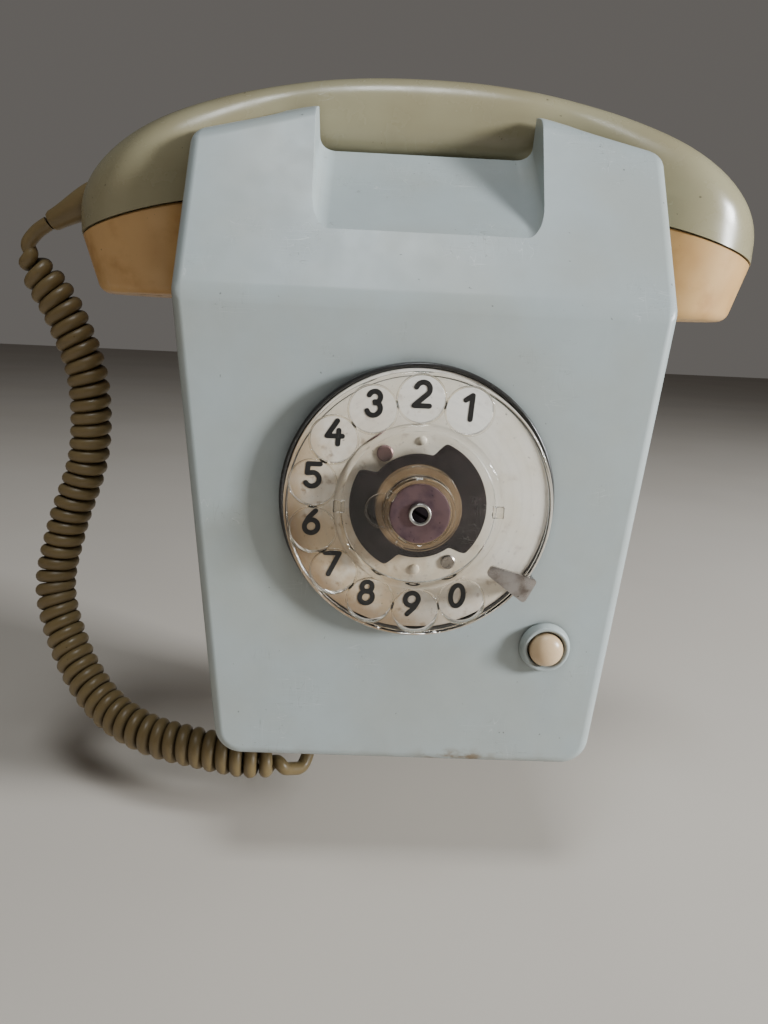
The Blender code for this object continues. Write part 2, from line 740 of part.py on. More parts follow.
def build_finger_stop():
    """A chromed hook: a tapered blade over the wheel, bent down outside its rim."""
    x, z = polar(STOP_INNER_RADIUS, STOP_INNER_ANGLE)
    turn = Matrix.Rotation(-math.radians(STOP_INNER_ANGLE + STOP_SLANT), 4, "Y")
    place = Matrix.Translation((x, 0, z)) @ turn
    front = WHEEL_FRONT + 2.6
    corners = [(0, -1.4), (STOP_LENGTH, -3.8), (STOP_LENGTH, 3.8), (0, 1.4)]
    blade = moved(prism(rounded(corners, 1.0, 3), front, front + 1.2), place)
    stop = mesh_object("finger_stop", blade, CHROME)
    leg = block((STOP_LENGTH - 1.2, STOP_LENGTH - 0.1), (92.8 + GAP, front + 0.8), (-3.1, 3.1))
    return boolean(stop, mesh_object("join_stop_leg", moved(leg, place)), "UNION")


def build_dial():
    build_dial_base()
    build_number_plate()
    build_finger_wheel()
    build_dial_rotor()
    build_pinion_group()
    build_governor()
    build_dial_frame()
    build_return_spring()
    build_impulse_contacts()
    build_finger_stop()


# ---------------------------------------------------------------- button


def build_button():
    z = up(BUTTON_HEIGHT)
    axis = facing_front(BUTTON_X, z)
    inner = BUTTON_RADIUS + 0.4
    bezel = [
        (inner, 82),
        (inner + 0.8, 82),
        (inner + 0.8, CASE_DEPTH + GAP),
        (BEZEL_RADIUS, CASE_DEPTH + GAP),
        (BEZEL_RADIUS, 89.6),
        (BEZEL_RADIUS - 0.8, 91.0),
        (inner + 0.3, 91.2),
        (inner, 90.8),
    ]
    mesh_object("button_bezel", turned(bezel, 20, axis), CASE_PLASTIC)
    cap = [
        (0, 78),
        (1.8, 78),
        (1.8, 80),
        (inner + 0.6, 80),
        (inner + 0.6, 81.6),
        (BUTTON_RADIUS, 81.6),
        (BUTTON_RADIUS, 91.6),
        (BUTTON_RADIUS - 0.7, 92.9),
        (BUTTON_RADIUS - 2.2, 93.8),
        (0, 94.2),
    ]
    mesh_object("button_cap", turned(cap, 20, axis), BUTTON_PLASTIC, (BUTTON_X, -CASE_DEPTH, z))
    spring = moved(helix(3.4, 70.8, 76.2, 4, 0.4), axis)
    mesh_object("button_spring", spring, STEEL)
    switch = block((BUTTON_X - 6, BUTTON_X + 6), (58, 70), (z - 5, z + 5))
    mesh_object("button_switch", switch, INSULATOR)


# ---------------------------------------------------------------- hook switch


def build_hook_switch():
    axis = standing(0, HANDSET_DEPTH)
    top = up(HANDLE_UNDERSIDE) - 0.4
    shelf = up(HOOK_BRACKET_HEIGHT)
    flange = shelf + 10
    plunger = [
        (0, shelf - 4),
        (2.0, shelf - 4),
        (2.0, flange),
        (6.0, flange),
        (6.0, flange + 2),
        (PLUNGER_RADIUS, flange + 2),
        (PLUNGER_RADIUS, top - 1),
        (PLUNGER_RADIUS - 1, top),
        (0, top),
    ]
    origin = (0, -HANDSET_DEPTH, flange)
    mesh_object("hook_plunger", turned(plunger, 16, axis), BLACK_PLASTIC, origin)
    spring = moved(helix(4.4, shelf + 3.2, flange - 0.8, 3, 0.5), axis)
    mesh_object("hook_spring", spring, STEEL)
    back = PLATE_THICKNESS + GAP
    arm = mesh_object("hook_bracket", block((-16, 16), (back, 44), (shelf, shelf + 2)), STEEL)
    foot = block((-16, 16), (back, back + 2), (shelf - 14, shelf + 1))
    boolean(arm, mesh_object("join_hook_foot", foot), "UNION")
    boolean(arm, mesh_object("cut_hook_guide", rod(2.4, shelf - 5, shelf + 5, 12, axis)))
    switch = block((8, 14), (26, 40), (shelf - 13, shelf - GAP))
    mesh_object("hook_switch", switch, INSULATOR)


# ---------------------------------------------------------------- ringer


def gong_profile(radius):
    """A shallow bell whose rim faces the wall."""
    outer = [(2.4, 61), (radius * 0.6, 60.2), (radius * 0.93, 56), (radius, 50)]
    inner = [(r - 1.2 if r > 3 else r, h - (1.2 if h > 51 else 0)) for r, h in reversed(outer)]
    return outer + inner


def build_ringer():
    plate = block((-RINGER_HALF, RINGER_HALF), (34, 35.5), (up(106), up(138)))
    bracket = mesh_object("ringer_bracket", plate, STEEL)
    legs = bmesh.new()
    for low in (-RINGER_HALF, RINGER_HALF - 1.5):
        block((low, low + 1.5), (PLATE_THICKNESS + GAP, 34.8), (up(108), up(130)), legs)
    boolean(bracket, mesh_object("join_ringer_legs", legs), "UNION")
    for side, word in ((-1, "left"), (1, "right")):
        axis = facing_front(side * GONG_X, up(GONG_HEIGHT))
        mesh_object("gong_" + word, turned(gong_profile(GONG_RADIUS), 22, axis), BRASS)
        screw = slotted_head(3.8, 61 + GAP, 63, 2.0, 35.5 + GAP)
        mesh_object("gong_screw_" + word, turned(screw, 12, axis), STEEL)
        coil = [(0, 0), (7.5, 0), (7.5, 2), (6.2, 2), (6.2, 24), (7.5, 24), (7.5, 26), (0, 26)]
        place = standing(side * 10, 22, up(112))
        mesh_object("ringer_coil_" + word, turned(coil, 14, place), COPPER_COIL)
    origin = (0, -52, up(CLAPPER_PIVOT_HEIGHT))
    rod_low = up(CLAPPER_PIVOT_HEIGHT)
    arm = mesh_object("clapper", rod(3.0, 51, 53, 16, facing_front(0, rod_low)), BRASS, origin)
    hammer = bmesh.new()
    block((-0.7, 0.7), (51.4, 52.6), (rod_low, up(GONG_HEIGHT)), hammer)
    rod(3.0, up(GONG_HEIGHT - 3), up(GONG_HEIGHT + 3), 16, standing(0, 52), hammer)
    boolean(arm, mesh_object("join_hammer", hammer), "UNION")
    boolean(arm, mesh_object("cut_clapper_bore", rod(1.5, 45, 60, 12, facing_front(0, rod_low))))
    pin = rod(1.2, 35, 54.5, 12, facing_front(0, rod_low))
    boolean(bracket, mesh_object("join_clapper_pin", pin), "UNION")


# ---------------------------------------------------------------- electrics


def build_electrics():
    board = block((-44, 44), (10 + GAP, 11.9), (up(13), up(66)))
    mesh_object("circuit_board", board, BOARD_LAMINATE)
    front = 11.9 + GAP
    core = mesh_object("transformer", block((10, 36), (front, 32), (up(20), up(44))), STEEL)
    bobbin = block((14, 32), (front + 3, 36), (up(16), up(48)))
    boolean(core, mesh_object("join_bobbin", bobbin), "UNION")
    can = rod(7, -36, -6, 20, lying(front + 7.2, up(52)))
    mesh_object("capacitor", can, CAN_METAL)
    strip = mesh_object("terminal_block", block((-38, -6), (front, 22), (up(18), up(30))), INSULATOR)
    grooves = bmesh.new()
    for i in range(4):
        x = -31.5 + i * 7
        block((x - 0.5, x + 0.5), (18, 25), (up(15), up(33)), grooves)
    boolean(strip, mesh_object("cut_terminal_grooves", grooves))


# ---------------------------------------------------------------- handset


def handset_top(x):
    share = min(1.0, abs(x) / HANDSET_HALF)
    rise = HANDSET_TOP - HANDSET_END_HEIGHT
    return HANDSET_END_HEIGHT + rise * (1 - share**2.2) ** (1 / 1.7)


def parting_height(x):
    """The line between shell and cap, which rises towards the handle."""
    return PARTING_HEIGHT + PARTING_SLOPE * (CUP_X - abs(x))


def smoothstep(value, low, high):
    share = min(1.0, max(0.0, (value - low) / (high - low)))
    return share * share * (3 - 2 * share)


def handset_section(x, inset, opening):
    """A ring of 16 points across the handset at x. Inset makes the hollow's ring, and opening is how far
    the hollow runs on below the parting line."""
    inner_wall = CUP_X - CUP_OUTER_RADIUS + inset
    top = handset_top(x) - inset
    low = parting_height(x) - opening
    under = HANDLE_UNDERSIDE + inset
    if abs(x) >= inner_wall:
        bottom = low
    else:
        share = max(0.0, (abs(x) - HANDLE_STRAIGHT_HALF) / (inner_wall - HANDLE_STRAIGHT_HALF))
        bottom = under - (under - low) * (1 - math.sqrt(1 - share**2))
    reach = CUP_OUTER_RADIUS - inset
    across = math.sqrt(max(0.0, reach**2 - (abs(x) - CUP_X) ** 2))
    handle = HANDLE_HALF_DEPTH - inset
    low_half = across if abs(x) > CUP_X else (across**6 + handle**6) ** (1 / 6)
    neck = handle + (reach - handle) * smoothstep(abs(x), NECK_START, CUP_X)
    half = across if abs(x) > CUP_X else max(low_half, neck)
    cup = smoothstep(abs(x), HANDLE_STRAIGHT_HALF, inner_wall + 4)
    middle = (top + bottom) / 2
    spring = bottom + 0.3 * (top - bottom)
    ring = []
    for i in range(16):
        angle = 2 * math.pi * i / 16
        cosine, sine = math.cos(angle), math.sin(angle)
        y = half * math.copysign(abs(cosine) ** 0.72, cosine)
        z = middle + (top - middle) * math.copysign(abs(sine) ** 0.72, sine)
        cup_z = spring + (top - spring) * abs(sine) ** 0.8
        cup_y = y
        if i > 8:
            step = i - 12
            cup_y = (low_half if abs(step) < 4 else half) * max(-1.0, min(1.0, step / 2))
            cup_z = bottom if abs(step) < 3 else (bottom + spring) / 2
        ring.append((y + cup * (cup_y - y), z + cup * (cup_z - z)))
    return [(x, y - HANDSET_DEPTH, up(z)) for y, z in ring]


def handset_body(inset, opening):
    end = CUP_X + (CUP_OUTER_RADIUS - inset) * math.sin(math.radians(80))
    half = [0, 22, 40, 49, 55, 59, 64, 72, 84, 94, 101, 106, end]
    half = [x for x in half if x < end - 0.4] + [end]
    stations = [-x for x in reversed(half[1:])] + half
    return loft([handset_section(x, inset, opening) for x in stations])


def boot_path(grow):
    start = Vector((-98.5, -HANDSET_DEPTH, up(171.5)))
    tip = Vector((-121.5, -HANDSET_DEPTH, up(159.0)))
    along = [start.lerp(tip, share) for share in (0, 0.4, 0.7, 1)]
    return tube(along, [5.2 + grow, 5.2 + grow, 4.2 + grow, 3.2 + grow], 14)


def slant_top(bm, low, high):
    """Raises a cup's upper parts on the handle's side, so that its top follows the parting line."""
    for vert in bm.verts:
        share = min(1.0, max(0.0, (vert.co.z - low) / (high - low)))
        vert.co.z += share * PARTING_SLOPE * (CUP_X - abs(vert.co.x))
    return bm


def cap_profile():
    """A cup that tapers downwards, open at the top."""
    low, high = up(CAP_BOTTOM_HEIGHT), up(PARTING_HEIGHT) - GAP
    rim = CUP_OUTER_RADIUS - 0.3
    return [
        (0, low + 0.6),
        (CAP_BOTTOM_RADIUS - 1, low),
        (CAP_BOTTOM_RADIUS + 1.3, low + 3),
        (rim, high),
        (rim - 2.6, high),
        (CAP_BOTTOM_RADIUS - 1.3, low + 3.4),
        (0, low + 3.4),
    ]


def build_handset():
    shell = mesh_object("handset_shell", handset_body(0, 0), HANDSET_PLASTIC)
    boolean(shell, mesh_object("cut_handset_hollow", handset_body(SHELL_WALL, 6)))
    boolean(shell, mesh_object("cut_boot_seat", boot_path(GAP)))
    mesh_object("cord_boot", boot_path(0), CORD_RUBBER)
    low, high = up(CAP_BOTTOM_HEIGHT + 3.4), up(PARTING_HEIGHT) - GAP
    capsule = [(0, -14), (14.5, -14), (17.5, -11), (17.5, -2), (12, 1), (0, 1)]
    for side, cap_name, capsule_name in (
        (-1, "mouthpiece_cap", "transmitter_capsule"),
        (1, "earpiece_cap", "receiver_capsule"),
    ):
        axis = standing(side * CUP_X, HANDSET_DEPTH)
        cap = mesh_object(cap_name, slant_top(turned(cap_profile(), 28, axis), low, high), CREAM_PLASTIC)
        holes = bmesh.new()
        rod(1.1, low - 9, low + 3, 6, axis, holes)
        for i in range(6):
            x, y = polar(7.5, 60 * i)
            place = standing(side * CUP_X + x, HANDSET_DEPTH + y)
            rod(1.1, low - 9, low + 3, 6, place, holes)
        boolean(cap, mesh_object("cut_holes_" + cap_name, holes))
        place = standing(side * CUP_X, HANDSET_DEPTH, up(PARTING_HEIGHT))
        body = slant_top(turned(capsule, 20, place), low, high)
        mesh_object(capsule_name, body, CAPSULE_METAL)


# ---------------------------------------------------------------- cord


def build_cord():
    """The coiled cord's outer form: thin where it is plain, thick where it is coiled."""
    knots = [
        (-122.2, -31, 158.6, CORD_RADIUS),
        (-127.2, -30, 154.6, CORD_RADIUS),
        (-128.9, -29, 147.8, CORD_RADIUS + 1),
        (-125.8, -28, 140.3, COIL_RADIUS - 1),
        (-119.7, -27, 129.0, COIL_RADIUS),
        (-113.4, -26, 107.9, COIL_RADIUS),
        (-114.2, -26, 81.2, COIL_RADIUS),
        (-122.2, -28, 55.4, COIL_RADIUS),
        (-126.6, -31, 31.6, COIL_RADIUS),
        (-118.9, -38, 9.7, COIL_RADIUS),
        (-105.2, -47, -5.5, COIL_RADIUS),
        (-87.8, -55, -12.3, COIL_RADIUS),
        (-66.6, -59, -15.5, COIL_RADIUS),
        (-50.1, -60, -19.3, COIL_RADIUS),
        (-39.6, -57, -23.5, COIL_RADIUS - 2),
        (-32.9, -50, -24.5, CORD_RADIUS + 0.5),
        (CORD_ENTRY_X, -CORD_ENTRY_DEPTH, -12.0, CORD_RADIUS),
        (CORD_ENTRY_X, -CORD_ENTRY_DEPTH, 8.0, CORD_RADIUS),
    ]
    path = smooth_path(knots, 3)
    points = [(x, y, up(height)) for x, y, height, _ in path]
    mesh_object("coil_cord", tube(points, [p[3] for p in path], 8), CORD_RUBBER)
    low, high = up(-2), up(5)
    outer, inner = 5.2, CORD_RADIUS + 0.4
    grommet = [
        (inner, low),
        (7.0, low),
        (7.0, up(-GAP)),
        (outer, up(-GAP)),
        (outer, high),
        (inner, high),
    ]
    place = standing(CORD_ENTRY_X, CORD_ENTRY_DEPTH)
    mesh_object("cord_grommet", turned(grommet, 20, place), CORD_RUBBER)


def main():
    clear_scene()
    build_case()
    build_wall_plate()
    build_case_screws()
    build_dial()
    build_button()
    build_hook_switch()
    build_ringer()
    build_electrics()
    build_handset()
    build_cord()


main()
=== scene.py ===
"""Looks for the rotary wall phone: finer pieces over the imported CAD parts, procedural materials, light
and camera.

The frame is the CAD part's: the dial's axis meets the wall at the origin, +X is the viewer's right, +Z is
up and the front faces -Y. Lengths are in millimetres until new_piece() turns them into metres. Depths are
distances in front of the wall, and heights given to up() are measured from the case's bottom.
"""

import json
import math

import bmesh
import bpy
from mathutils import Matrix, Vector


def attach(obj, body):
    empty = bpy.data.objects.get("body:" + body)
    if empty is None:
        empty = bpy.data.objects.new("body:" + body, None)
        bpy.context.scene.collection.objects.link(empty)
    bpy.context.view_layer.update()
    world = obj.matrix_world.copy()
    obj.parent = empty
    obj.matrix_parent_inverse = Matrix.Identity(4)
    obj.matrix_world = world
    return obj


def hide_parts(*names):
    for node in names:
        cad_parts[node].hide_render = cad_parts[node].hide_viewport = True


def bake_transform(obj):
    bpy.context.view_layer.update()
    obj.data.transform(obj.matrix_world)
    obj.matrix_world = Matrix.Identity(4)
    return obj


MM = 0.001

# Case
DIAL_HEIGHT = 83.0
CASE_DEPTH = 88.0
CASE_BOTTOM_HALF = 58.0
CASE_TOP_HALF = 69.0
BOTTOM_CORNER_RADIUS = 8.5
CREASE_HEIGHT = 137.5
FACET_ANGLE = math.radians(31)
HORN_INNER_HALF = 34.1
HORN_OUTER_HEIGHT = 182.0
HORN_INNER_HEIGHT = 191.5
HORN_REAR_DEPTH = 46.5
HORN_REAR_RISE = 0.33
WALL = 2.8
EDGE_RADIUS = 3.2
NOTCH_EDGE_RADIUS = 0.8
NOTCH_HEIGHT = 156.0
NOTCH_BOTTOM_HALF = 32.4
NOTCH_TOP_HALF = 34.2
NOTCH_SLOPE = 0.83
NOTCH_CORNER_RADIUS = 5.0
SEAT_HEIGHT = 181.0
TROUGH_REAR_DEPTH = 16.0
POCKET_HALF = 43.0
POCKET_FLOOR_HEIGHT = 130.0
POCKET_FRONT_DEPTH = 54.5
POCKET_REAR_DEPTH = 2.8

# Dial: ten holes, one fourteenth of a turn apart
HOLE_PITCH = 360.0 / 14
FIRST_HOLE_ANGLE = 65.7
HOLE_CIRCLE = 29.3
HOLE_RADIUS = 6.2
WHEEL_RADIUS = 36.5
WHEEL_FRONT = 99.4
WHEEL_THICKNESS = 1.9
HUB_RADIUS = 9.5
HUB_BORE = 8.5
HUB_FLANGE_BORE = 5.0
CLAMP_SEAT = 104.3
BASE_RADIUS = 38.5
PLATE_RADIUS = 37.0
CUP_RADIUS = 34.2
CARRIER_LOBES = ((-52, 77), (141, 252))
STOP_INNER_RADIUS = 25.2
STOP_INNER_ANGLE = -38.0
STOP_SLANT = 12.0
STOP_LENGTH = 13.2

# Button
BUTTON_X = 40.7
BUTTON_HEIGHT = 39.8
BUTTON_RADIUS = 5.0
BEZEL_RADIUS = 7.6

# Handset
HANDSET_DEPTH = 31.0
CUP_X = 84.5
CUP_OUTER_RADIUS = 25.5
HANDSET_TOP = 206.5
HANDSET_END_HEIGHT = 161.0
HANDSET_HALF = 110.0
HANDLE_UNDERSIDE = 181.8
HANDLE_HALF_DEPTH = 13.0
HANDLE_STRAIGHT_HALF = 44.0
NECK_START = 38.0
PARTING_HEIGHT = 161.5
PARTING_SLOPE = math.tan(math.radians(15))
CAP_BOTTOM_HEIGHT = 137.0
CAP_BOTTOM_RADIUS = 19.5
SHELL_WALL = 3.0

# Cord
CORD_RADIUS = 2.3
COIL_RADIUS = 7.5
CORD_ENTRY_X = -30.0
CORD_ENTRY_DEPTH = 45.0

# Hook switch and ringer
PLUNGER_RADIUS = 4.0

GAP = 0.3

FRONT = Matrix.Rotation(math.radians(90), 4, "X")

# Looks
PLATE_FACE = 91.9
# Heads on the plate, behind the clear wheel: distance from the axis, angle in degrees and radius
PLATE_FIXINGS = (
    ("plate_rivet", "clamp_metal", ((16.6, 125, 2.3),)),
    ("plate_screw", "chrome", ((19.4, -60, 2.1),)),
    ("plate_bosses", "number_enamel", ((17.5, 88, 1.2), (19.3, -89, 1.4))),
)
DIGIT_CIRCLE = 30.0
DIGIT_FIRST_ANGLE = 64.4
DIGIT_STROKE = 0.7
COIL_MEAN_RADIUS = 4.7
COIL_PITCH = 4.6
FLOOR_HEIGHT = -42.0
CAMERA_PLACE = (-14.69, -301.46, 46.74)
CAMERA_YAW, CAMERA_PITCH, CAMERA_ROLL = (math.radians(a) for a in (-0.95, -13.44, -2.38))
CAMERA_LENS = 27.035


def up(height):
    """The z of a point this far above the case's bottom."""
    return height - DIAL_HEIGHT


def bridge(bm, first, second):
    """Faces between two rings, either of which may be a single point."""
    count = max(len(first), len(second))
    for i in range(count):
        j = (i + 1) % count
        if len(first) == 1:
            bm.faces.new((first[0], second[j], second[i]))
        elif len(second) == 1:
            bm.faces.new((first[i], first[j], second[0]))
        else:
            bm.faces.new((first[i], first[j], second[j], second[i]))


def loft(rings, bm=None):
    """A closed surface through rings of points, with flat ends."""
    bm = bm or bmesh.new()
    made = [[bm.verts.new(point) for point in ring] for ring in rings]
    for first, second in zip(made, made[1:]):
        bridge(bm, first, second)
    for end in (made[0], made[-1]):
        if len(end) > 2:
            bm.faces.new(end)
    return bm


def circle(radius, count, turn=0.0):
    steps = (turn + 2 * math.pi * i / count for i in range(count))
    return [(radius * math.cos(a), radius * math.sin(a)) for a in steps]


def turned(profile, segments, place=Matrix.Identity(4), bm=None):
    """A turned shape about Z, moved by place. The profile's (radius, height) points close on themselves,
    unless they start and end on the axis."""
    bm = bm or bmesh.new()
    rings = []
    for radius, height in profile:
        points = circle(radius, segments) if radius else [(0, 0)]
        rings.append([bm.verts.new(place @ Vector((x, y, height))) for x, y in points])
    pairs = list(zip(rings, rings[1:]))
    if profile[0][0]:
        pairs.append((rings[-1], rings[0]))
    for first, second in pairs:
        bridge(bm, first, second)
    return bm


def rod(radius, low, high, segments, place=Matrix.Identity(4), bm=None):
    profile = [(0, low), (radius, low), (radius, high), (0, high)]
    return turned(profile, segments, place, bm)


def tube_profile(inner, outer, low, high):
    return [(inner, low), (outer, low), (outer, high), (inner, high)]


def facing_front(x=0.0, z=0.0):
    """Turns heights along Z into depths in front of the wall, on an axis through x and z."""
    return Matrix.Translation((x, 0, z)) @ FRONT


def standing(x, depth, z=0.0):
    return Matrix.Translation((x, -depth, z))


def block(x, depth, z, bm=None):
    """A box from (low, high) pairs; depth pairs are distances in front of the wall."""
    corners = [(x[0], z[0]), (x[1], z[0]), (x[1], z[1]), (x[0], z[1])]
    return prism(corners, depth[0], depth[1], bm)


def prism(outline, near, far, bm=None):
    """A front-view outline of (x, z) points, from one depth to another."""
    return loft([[(x, -depth, z) for x, z in outline] for depth in (near, far)], bm)


def rounded(corners, radius, steps=3):
    """The outline with each corner replaced by an arc."""
    outline = []
    for i, corner in enumerate(corners):
        here = Vector(corner)
        before = (Vector(corners[i - 1]) - here).normalized()
        after = (Vector(corners[(i + 1) % len(corners)]) - here).normalized()
        half = before.angle(after) / 2
        centre = here + (before + after).normalized() * (radius / math.sin(half))
        start = (here + before * (radius / math.tan(half)) - centre).normalized()
        end = (here + after * (radius / math.tan(half)) - centre).normalized()
        for step in range(steps + 1):
            outline.append(tuple(centre + start.slerp(end, step / steps) * radius))
    return outline


def hull(points):
    bm = bmesh.new()
    for point in points:
        bm.verts.new(point)
    bmesh.ops.convex_hull(bm, input=bm.verts)
    loose = [v for v in bm.verts if not v.link_faces]
    bmesh.ops.delete(bm, geom=loose, context="VERTS")
    flat = math.radians(1)
    bmesh.ops.dissolve_limit(bm, angle_limit=flat, verts=bm.verts, edges=bm.edges)
    return bm


def smooth_path(knots, per_span):
    """Points of a Catmull-Rom curve through the knots. A knot is any tuple of numbers."""
    ends = [knots[0], *knots, knots[-1]]
    path = []
    for a, b, c, d in zip(ends, ends[1:], ends[2:], ends[3:]):
        for step in range(per_span):
            t = step / per_span
            weights = (
                -0.5 * t + t**2 - 0.5 * t**3,
                1 - 2.5 * t**2 + 1.5 * t**3,
                0.5 * t + 2 * t**2 - 1.5 * t**3,
                -0.5 * t**2 + 0.5 * t**3,
            )
            path.append(tuple(sum(w * v for w, v in zip(weights, vs)) for vs in zip(a, b, c, d)))
    return [*path, knots[-1]]


def moved(bm, matrix):
    bmesh.ops.transform(bm, matrix=matrix, verts=bm.verts)
    return bm


def polar(radius, degrees):
    angle = math.radians(degrees)
    return radius * math.cos(angle), radius * math.sin(angle)


def facet_depth(height):
    """How far the front stands from the wall: level up to the crease, then sloping back."""
    return CASE_DEPTH - max(0.0, height - CREASE_HEIGHT) * math.tan(FACET_ANGLE)


def case_points(inset, back):
    """Corners of the case's outer form, or of its hollow when inset, from the wall side to the front."""
    points = []
    corner = BOTTOM_CORNER_RADIUS - inset / 2
    side_turn = math.atan2(CASE_TOP_HALF - CASE_BOTTOM_HALF, CREASE_HEIGHT)
    for side in (-1, 1):
        for step in range(10):
            angle = -math.pi / 2 + (math.pi / 2 - side_turn) * step / 9
            x = CASE_BOTTOM_HALF - inset - corner + corner * math.cos(angle)
            z = up(inset + corner + corner * math.sin(angle))
            points += [(side * x, back, z), (side * x, inset - CASE_DEPTH, z)]
        half = CASE_TOP_HALF - inset
        points += [(side * half, back, up(CREASE_HEIGHT))]
        points += [(side * half, inset - CASE_DEPTH, up(CREASE_HEIGHT - inset / 6))]
        horn = ((half, HORN_OUTER_HEIGHT), (HORN_INNER_HALF, HORN_INNER_HEIGHT))
        for x, height in horn:
            front = facet_depth(height) - inset * 1.4
            rear = height + (front - HORN_REAR_DEPTH) * HORN_REAR_RISE
            points.append((side * x, -front, up(height - inset)))
            points.append((side * x, -HORN_REAR_DEPTH, up(rear - inset)))
            points.append((side * x, back, up(rear - inset)))
    return points


# ---------------------------------------------------------------- materials


class Shade:
    """A node material under construction. Positions are in millimetres, in the object's frame."""

    def __init__(self, name):
        self.material = bpy.data.materials.new(name)
        self.material.use_nodes = True
        self.nodes = self.material.node_tree.nodes
        self.links = self.material.node_tree.links
        self.shader = self.nodes["Principled BSDF"]
        self.output = self.nodes["Material Output"]
        coordinates = self.nodes.new("ShaderNodeTexCoord")
        scale = self.node("ShaderNodeVectorMath", "SCALE", [coordinates.outputs["Object"]])
        scale.inputs["Scale"].default_value = 1 / MM
        self.place = scale.outputs[0]

    def node(self, kind, operation=None, inputs=()):
        made = self.nodes.new(kind)
        if operation:
            made.operation = operation
        for i, value in enumerate(inputs):
            self.set(made.inputs[i], value)
        return made

    def set(self, socket, value):
        if isinstance(value, bpy.types.NodeSocket):
            self.links.new(value, socket)
        elif value is not None:
            socket.default_value = value

    def math(self, operation, a, b=None):
        return self.node("ShaderNodeMath", operation, (a, b)).outputs[0]

    def noise(self, size, detail=3.0, stretch=(1, 1, 1)):
        """Noise whose features are about size millimetres across, divided by stretch on each axis."""
        place = self.node("ShaderNodeVectorMath", "MULTIPLY", (self.place, stretch)).outputs[0]
        made = self.nodes.new("ShaderNodeTexNoise")
        self.set(made.inputs["Vector"], place)
        made.inputs["Scale"].default_value = 1 / size
        made.inputs["Detail"].default_value = detail
        made.inputs["Roughness"].default_value = 0.55
        return made.outputs[0]

    def band(self, value, low, high, smallest=0.0, largest=1.0):
        """Rises smoothly from smallest at low to largest at high."""
        made = self.nodes.new("ShaderNodeMapRange")
        made.interpolation_type = "SMOOTHSTEP"
        for i, entry in enumerate((value, low, high, smallest, largest)):
            self.set(made.inputs[i], entry)
        return made.outputs[0]

    def mix(self, factor, first, second):
        made = self.nodes.new("ShaderNodeMix")
        made.data_type = "RGBA"
        self.set(made.inputs[0], factor)
        self.set(made.inputs[6], (*first, 1.0) if isinstance(first, tuple) else first)
        self.set(made.inputs[7], (*second, 1.0) if isinstance(second, tuple) else second)
        return made.outputs[2]

    def along(self, direction):
        """The distance along a direction, in millimetres."""
        return self.node("ShaderNodeVectorMath", "DOT_PRODUCT", (self.place, direction)).outputs[1]

    def radius(self):
        """The distance from the dial's axis."""
        flat = self.node("ShaderNodeVectorMath", "MULTIPLY", (self.place, (1, 0, 1))).outputs[0]
        return self.node("ShaderNodeVectorMath", "LENGTH", (flat,)).outputs[1]

    def crevice(self, distance):
        """1 deep in a corner, 0 on an open face."""
        made = self.nodes.new("ShaderNodeAmbientOcclusion")
        made.samples = 6
        made.inputs["Distance"].default_value = distance * MM
        return self.band(made.outputs["AO"], 0.95, 0.45)

    def scratches(self, size=9.0):
        """Thin, broken lines in two directions."""
        lines = []
        for stretch in ((0.25, 1, 3.0), (2.2, 1, 0.3)):
            wavy = self.noise(size, 1.0, stretch)
            distance = self.math("ABSOLUTE", self.math("SUBTRACT", wavy, 0.5))
            lines.append(self.band(distance, 0.004, 0.0))
        both = self.math("MAXIMUM", *lines)
        return self.math("MULTIPLY", both, self.band(self.noise(22, 2.0), 0.55, 0.66))

    def bump(self, height, strength, distance):
        made = self.nodes.new("ShaderNodeBump")
        made.inputs["Strength"].default_value = strength
        made.inputs["Distance"].default_value = distance * MM
        self.set(made.inputs["Height"], height)
        self.set(self.shader.inputs["Normal"], made.outputs[0])
        return made

    def finish(self, colour, roughness, metallic=0.0):
        self.set(self.shader.inputs["Base Color"], colour)
        self.set(self.shader.inputs["Roughness"], roughness)
        self.shader.inputs["Metallic"].default_value = metallic
        return self.material


def plastic(name, colour, stain, roughness, stain_share=0.35, specks=0.5, scratched=0.5, corner_dirt_and_shade=0.5):
    """Aged moulded plastic: uneven colour, stains, dark specks, fine scratches, and dirt with painted shade in
    its corners.
    """
    shade = Shade(name)
    broad = shade.band(shade.noise(38, 3), 0.38, 0.68, 0.0, stain_share)
    base = shade.mix(broad, colour, stain)
    mottled = shade.band(shade.noise(7, 5), 0.3, 0.75, 0.0, 0.10)
    base = shade.mix(mottled, base, tuple(0.55 * c for c in colour))
    spots = shade.band(shade.noise(1.7, 1.5), 0.755, 0.79, 0.0, specks)
    base = shade.mix(spots, base, tuple(0.18 * c for c in stain))
    # Corners found by ambient occlusion, darkened in patches: painted shade together with dirt.
    darkening = shade.math("MULTIPLY", shade.crevice(3.5), shade.band(shade.noise(9, 4), 0.25, 0.7, 0.2, corner_dirt_and_shade))
    base = shade.mix(darkening, base, tuple(0.22 * c for c in stain))
    lines = shade.scratches()
    base = shade.mix(shade.math("MULTIPLY", lines, 0.35 * scratched), base, (0.85, 0.86, 0.85))
    uneven = shade.band(shade.noise(14, 4), 0.3, 0.7, roughness - 0.06, roughness + 0.08)
    rough = shade.math("ADD", uneven, shade.math("MULTIPLY", darkening, 0.25))
    relief = shade.math("ADD", shade.noise(1.2, 2), shade.math("MULTIPLY", lines, 1.5 * scratched))
    shade.bump(relief, 0.18, 0.05)
    return shade, base, rough


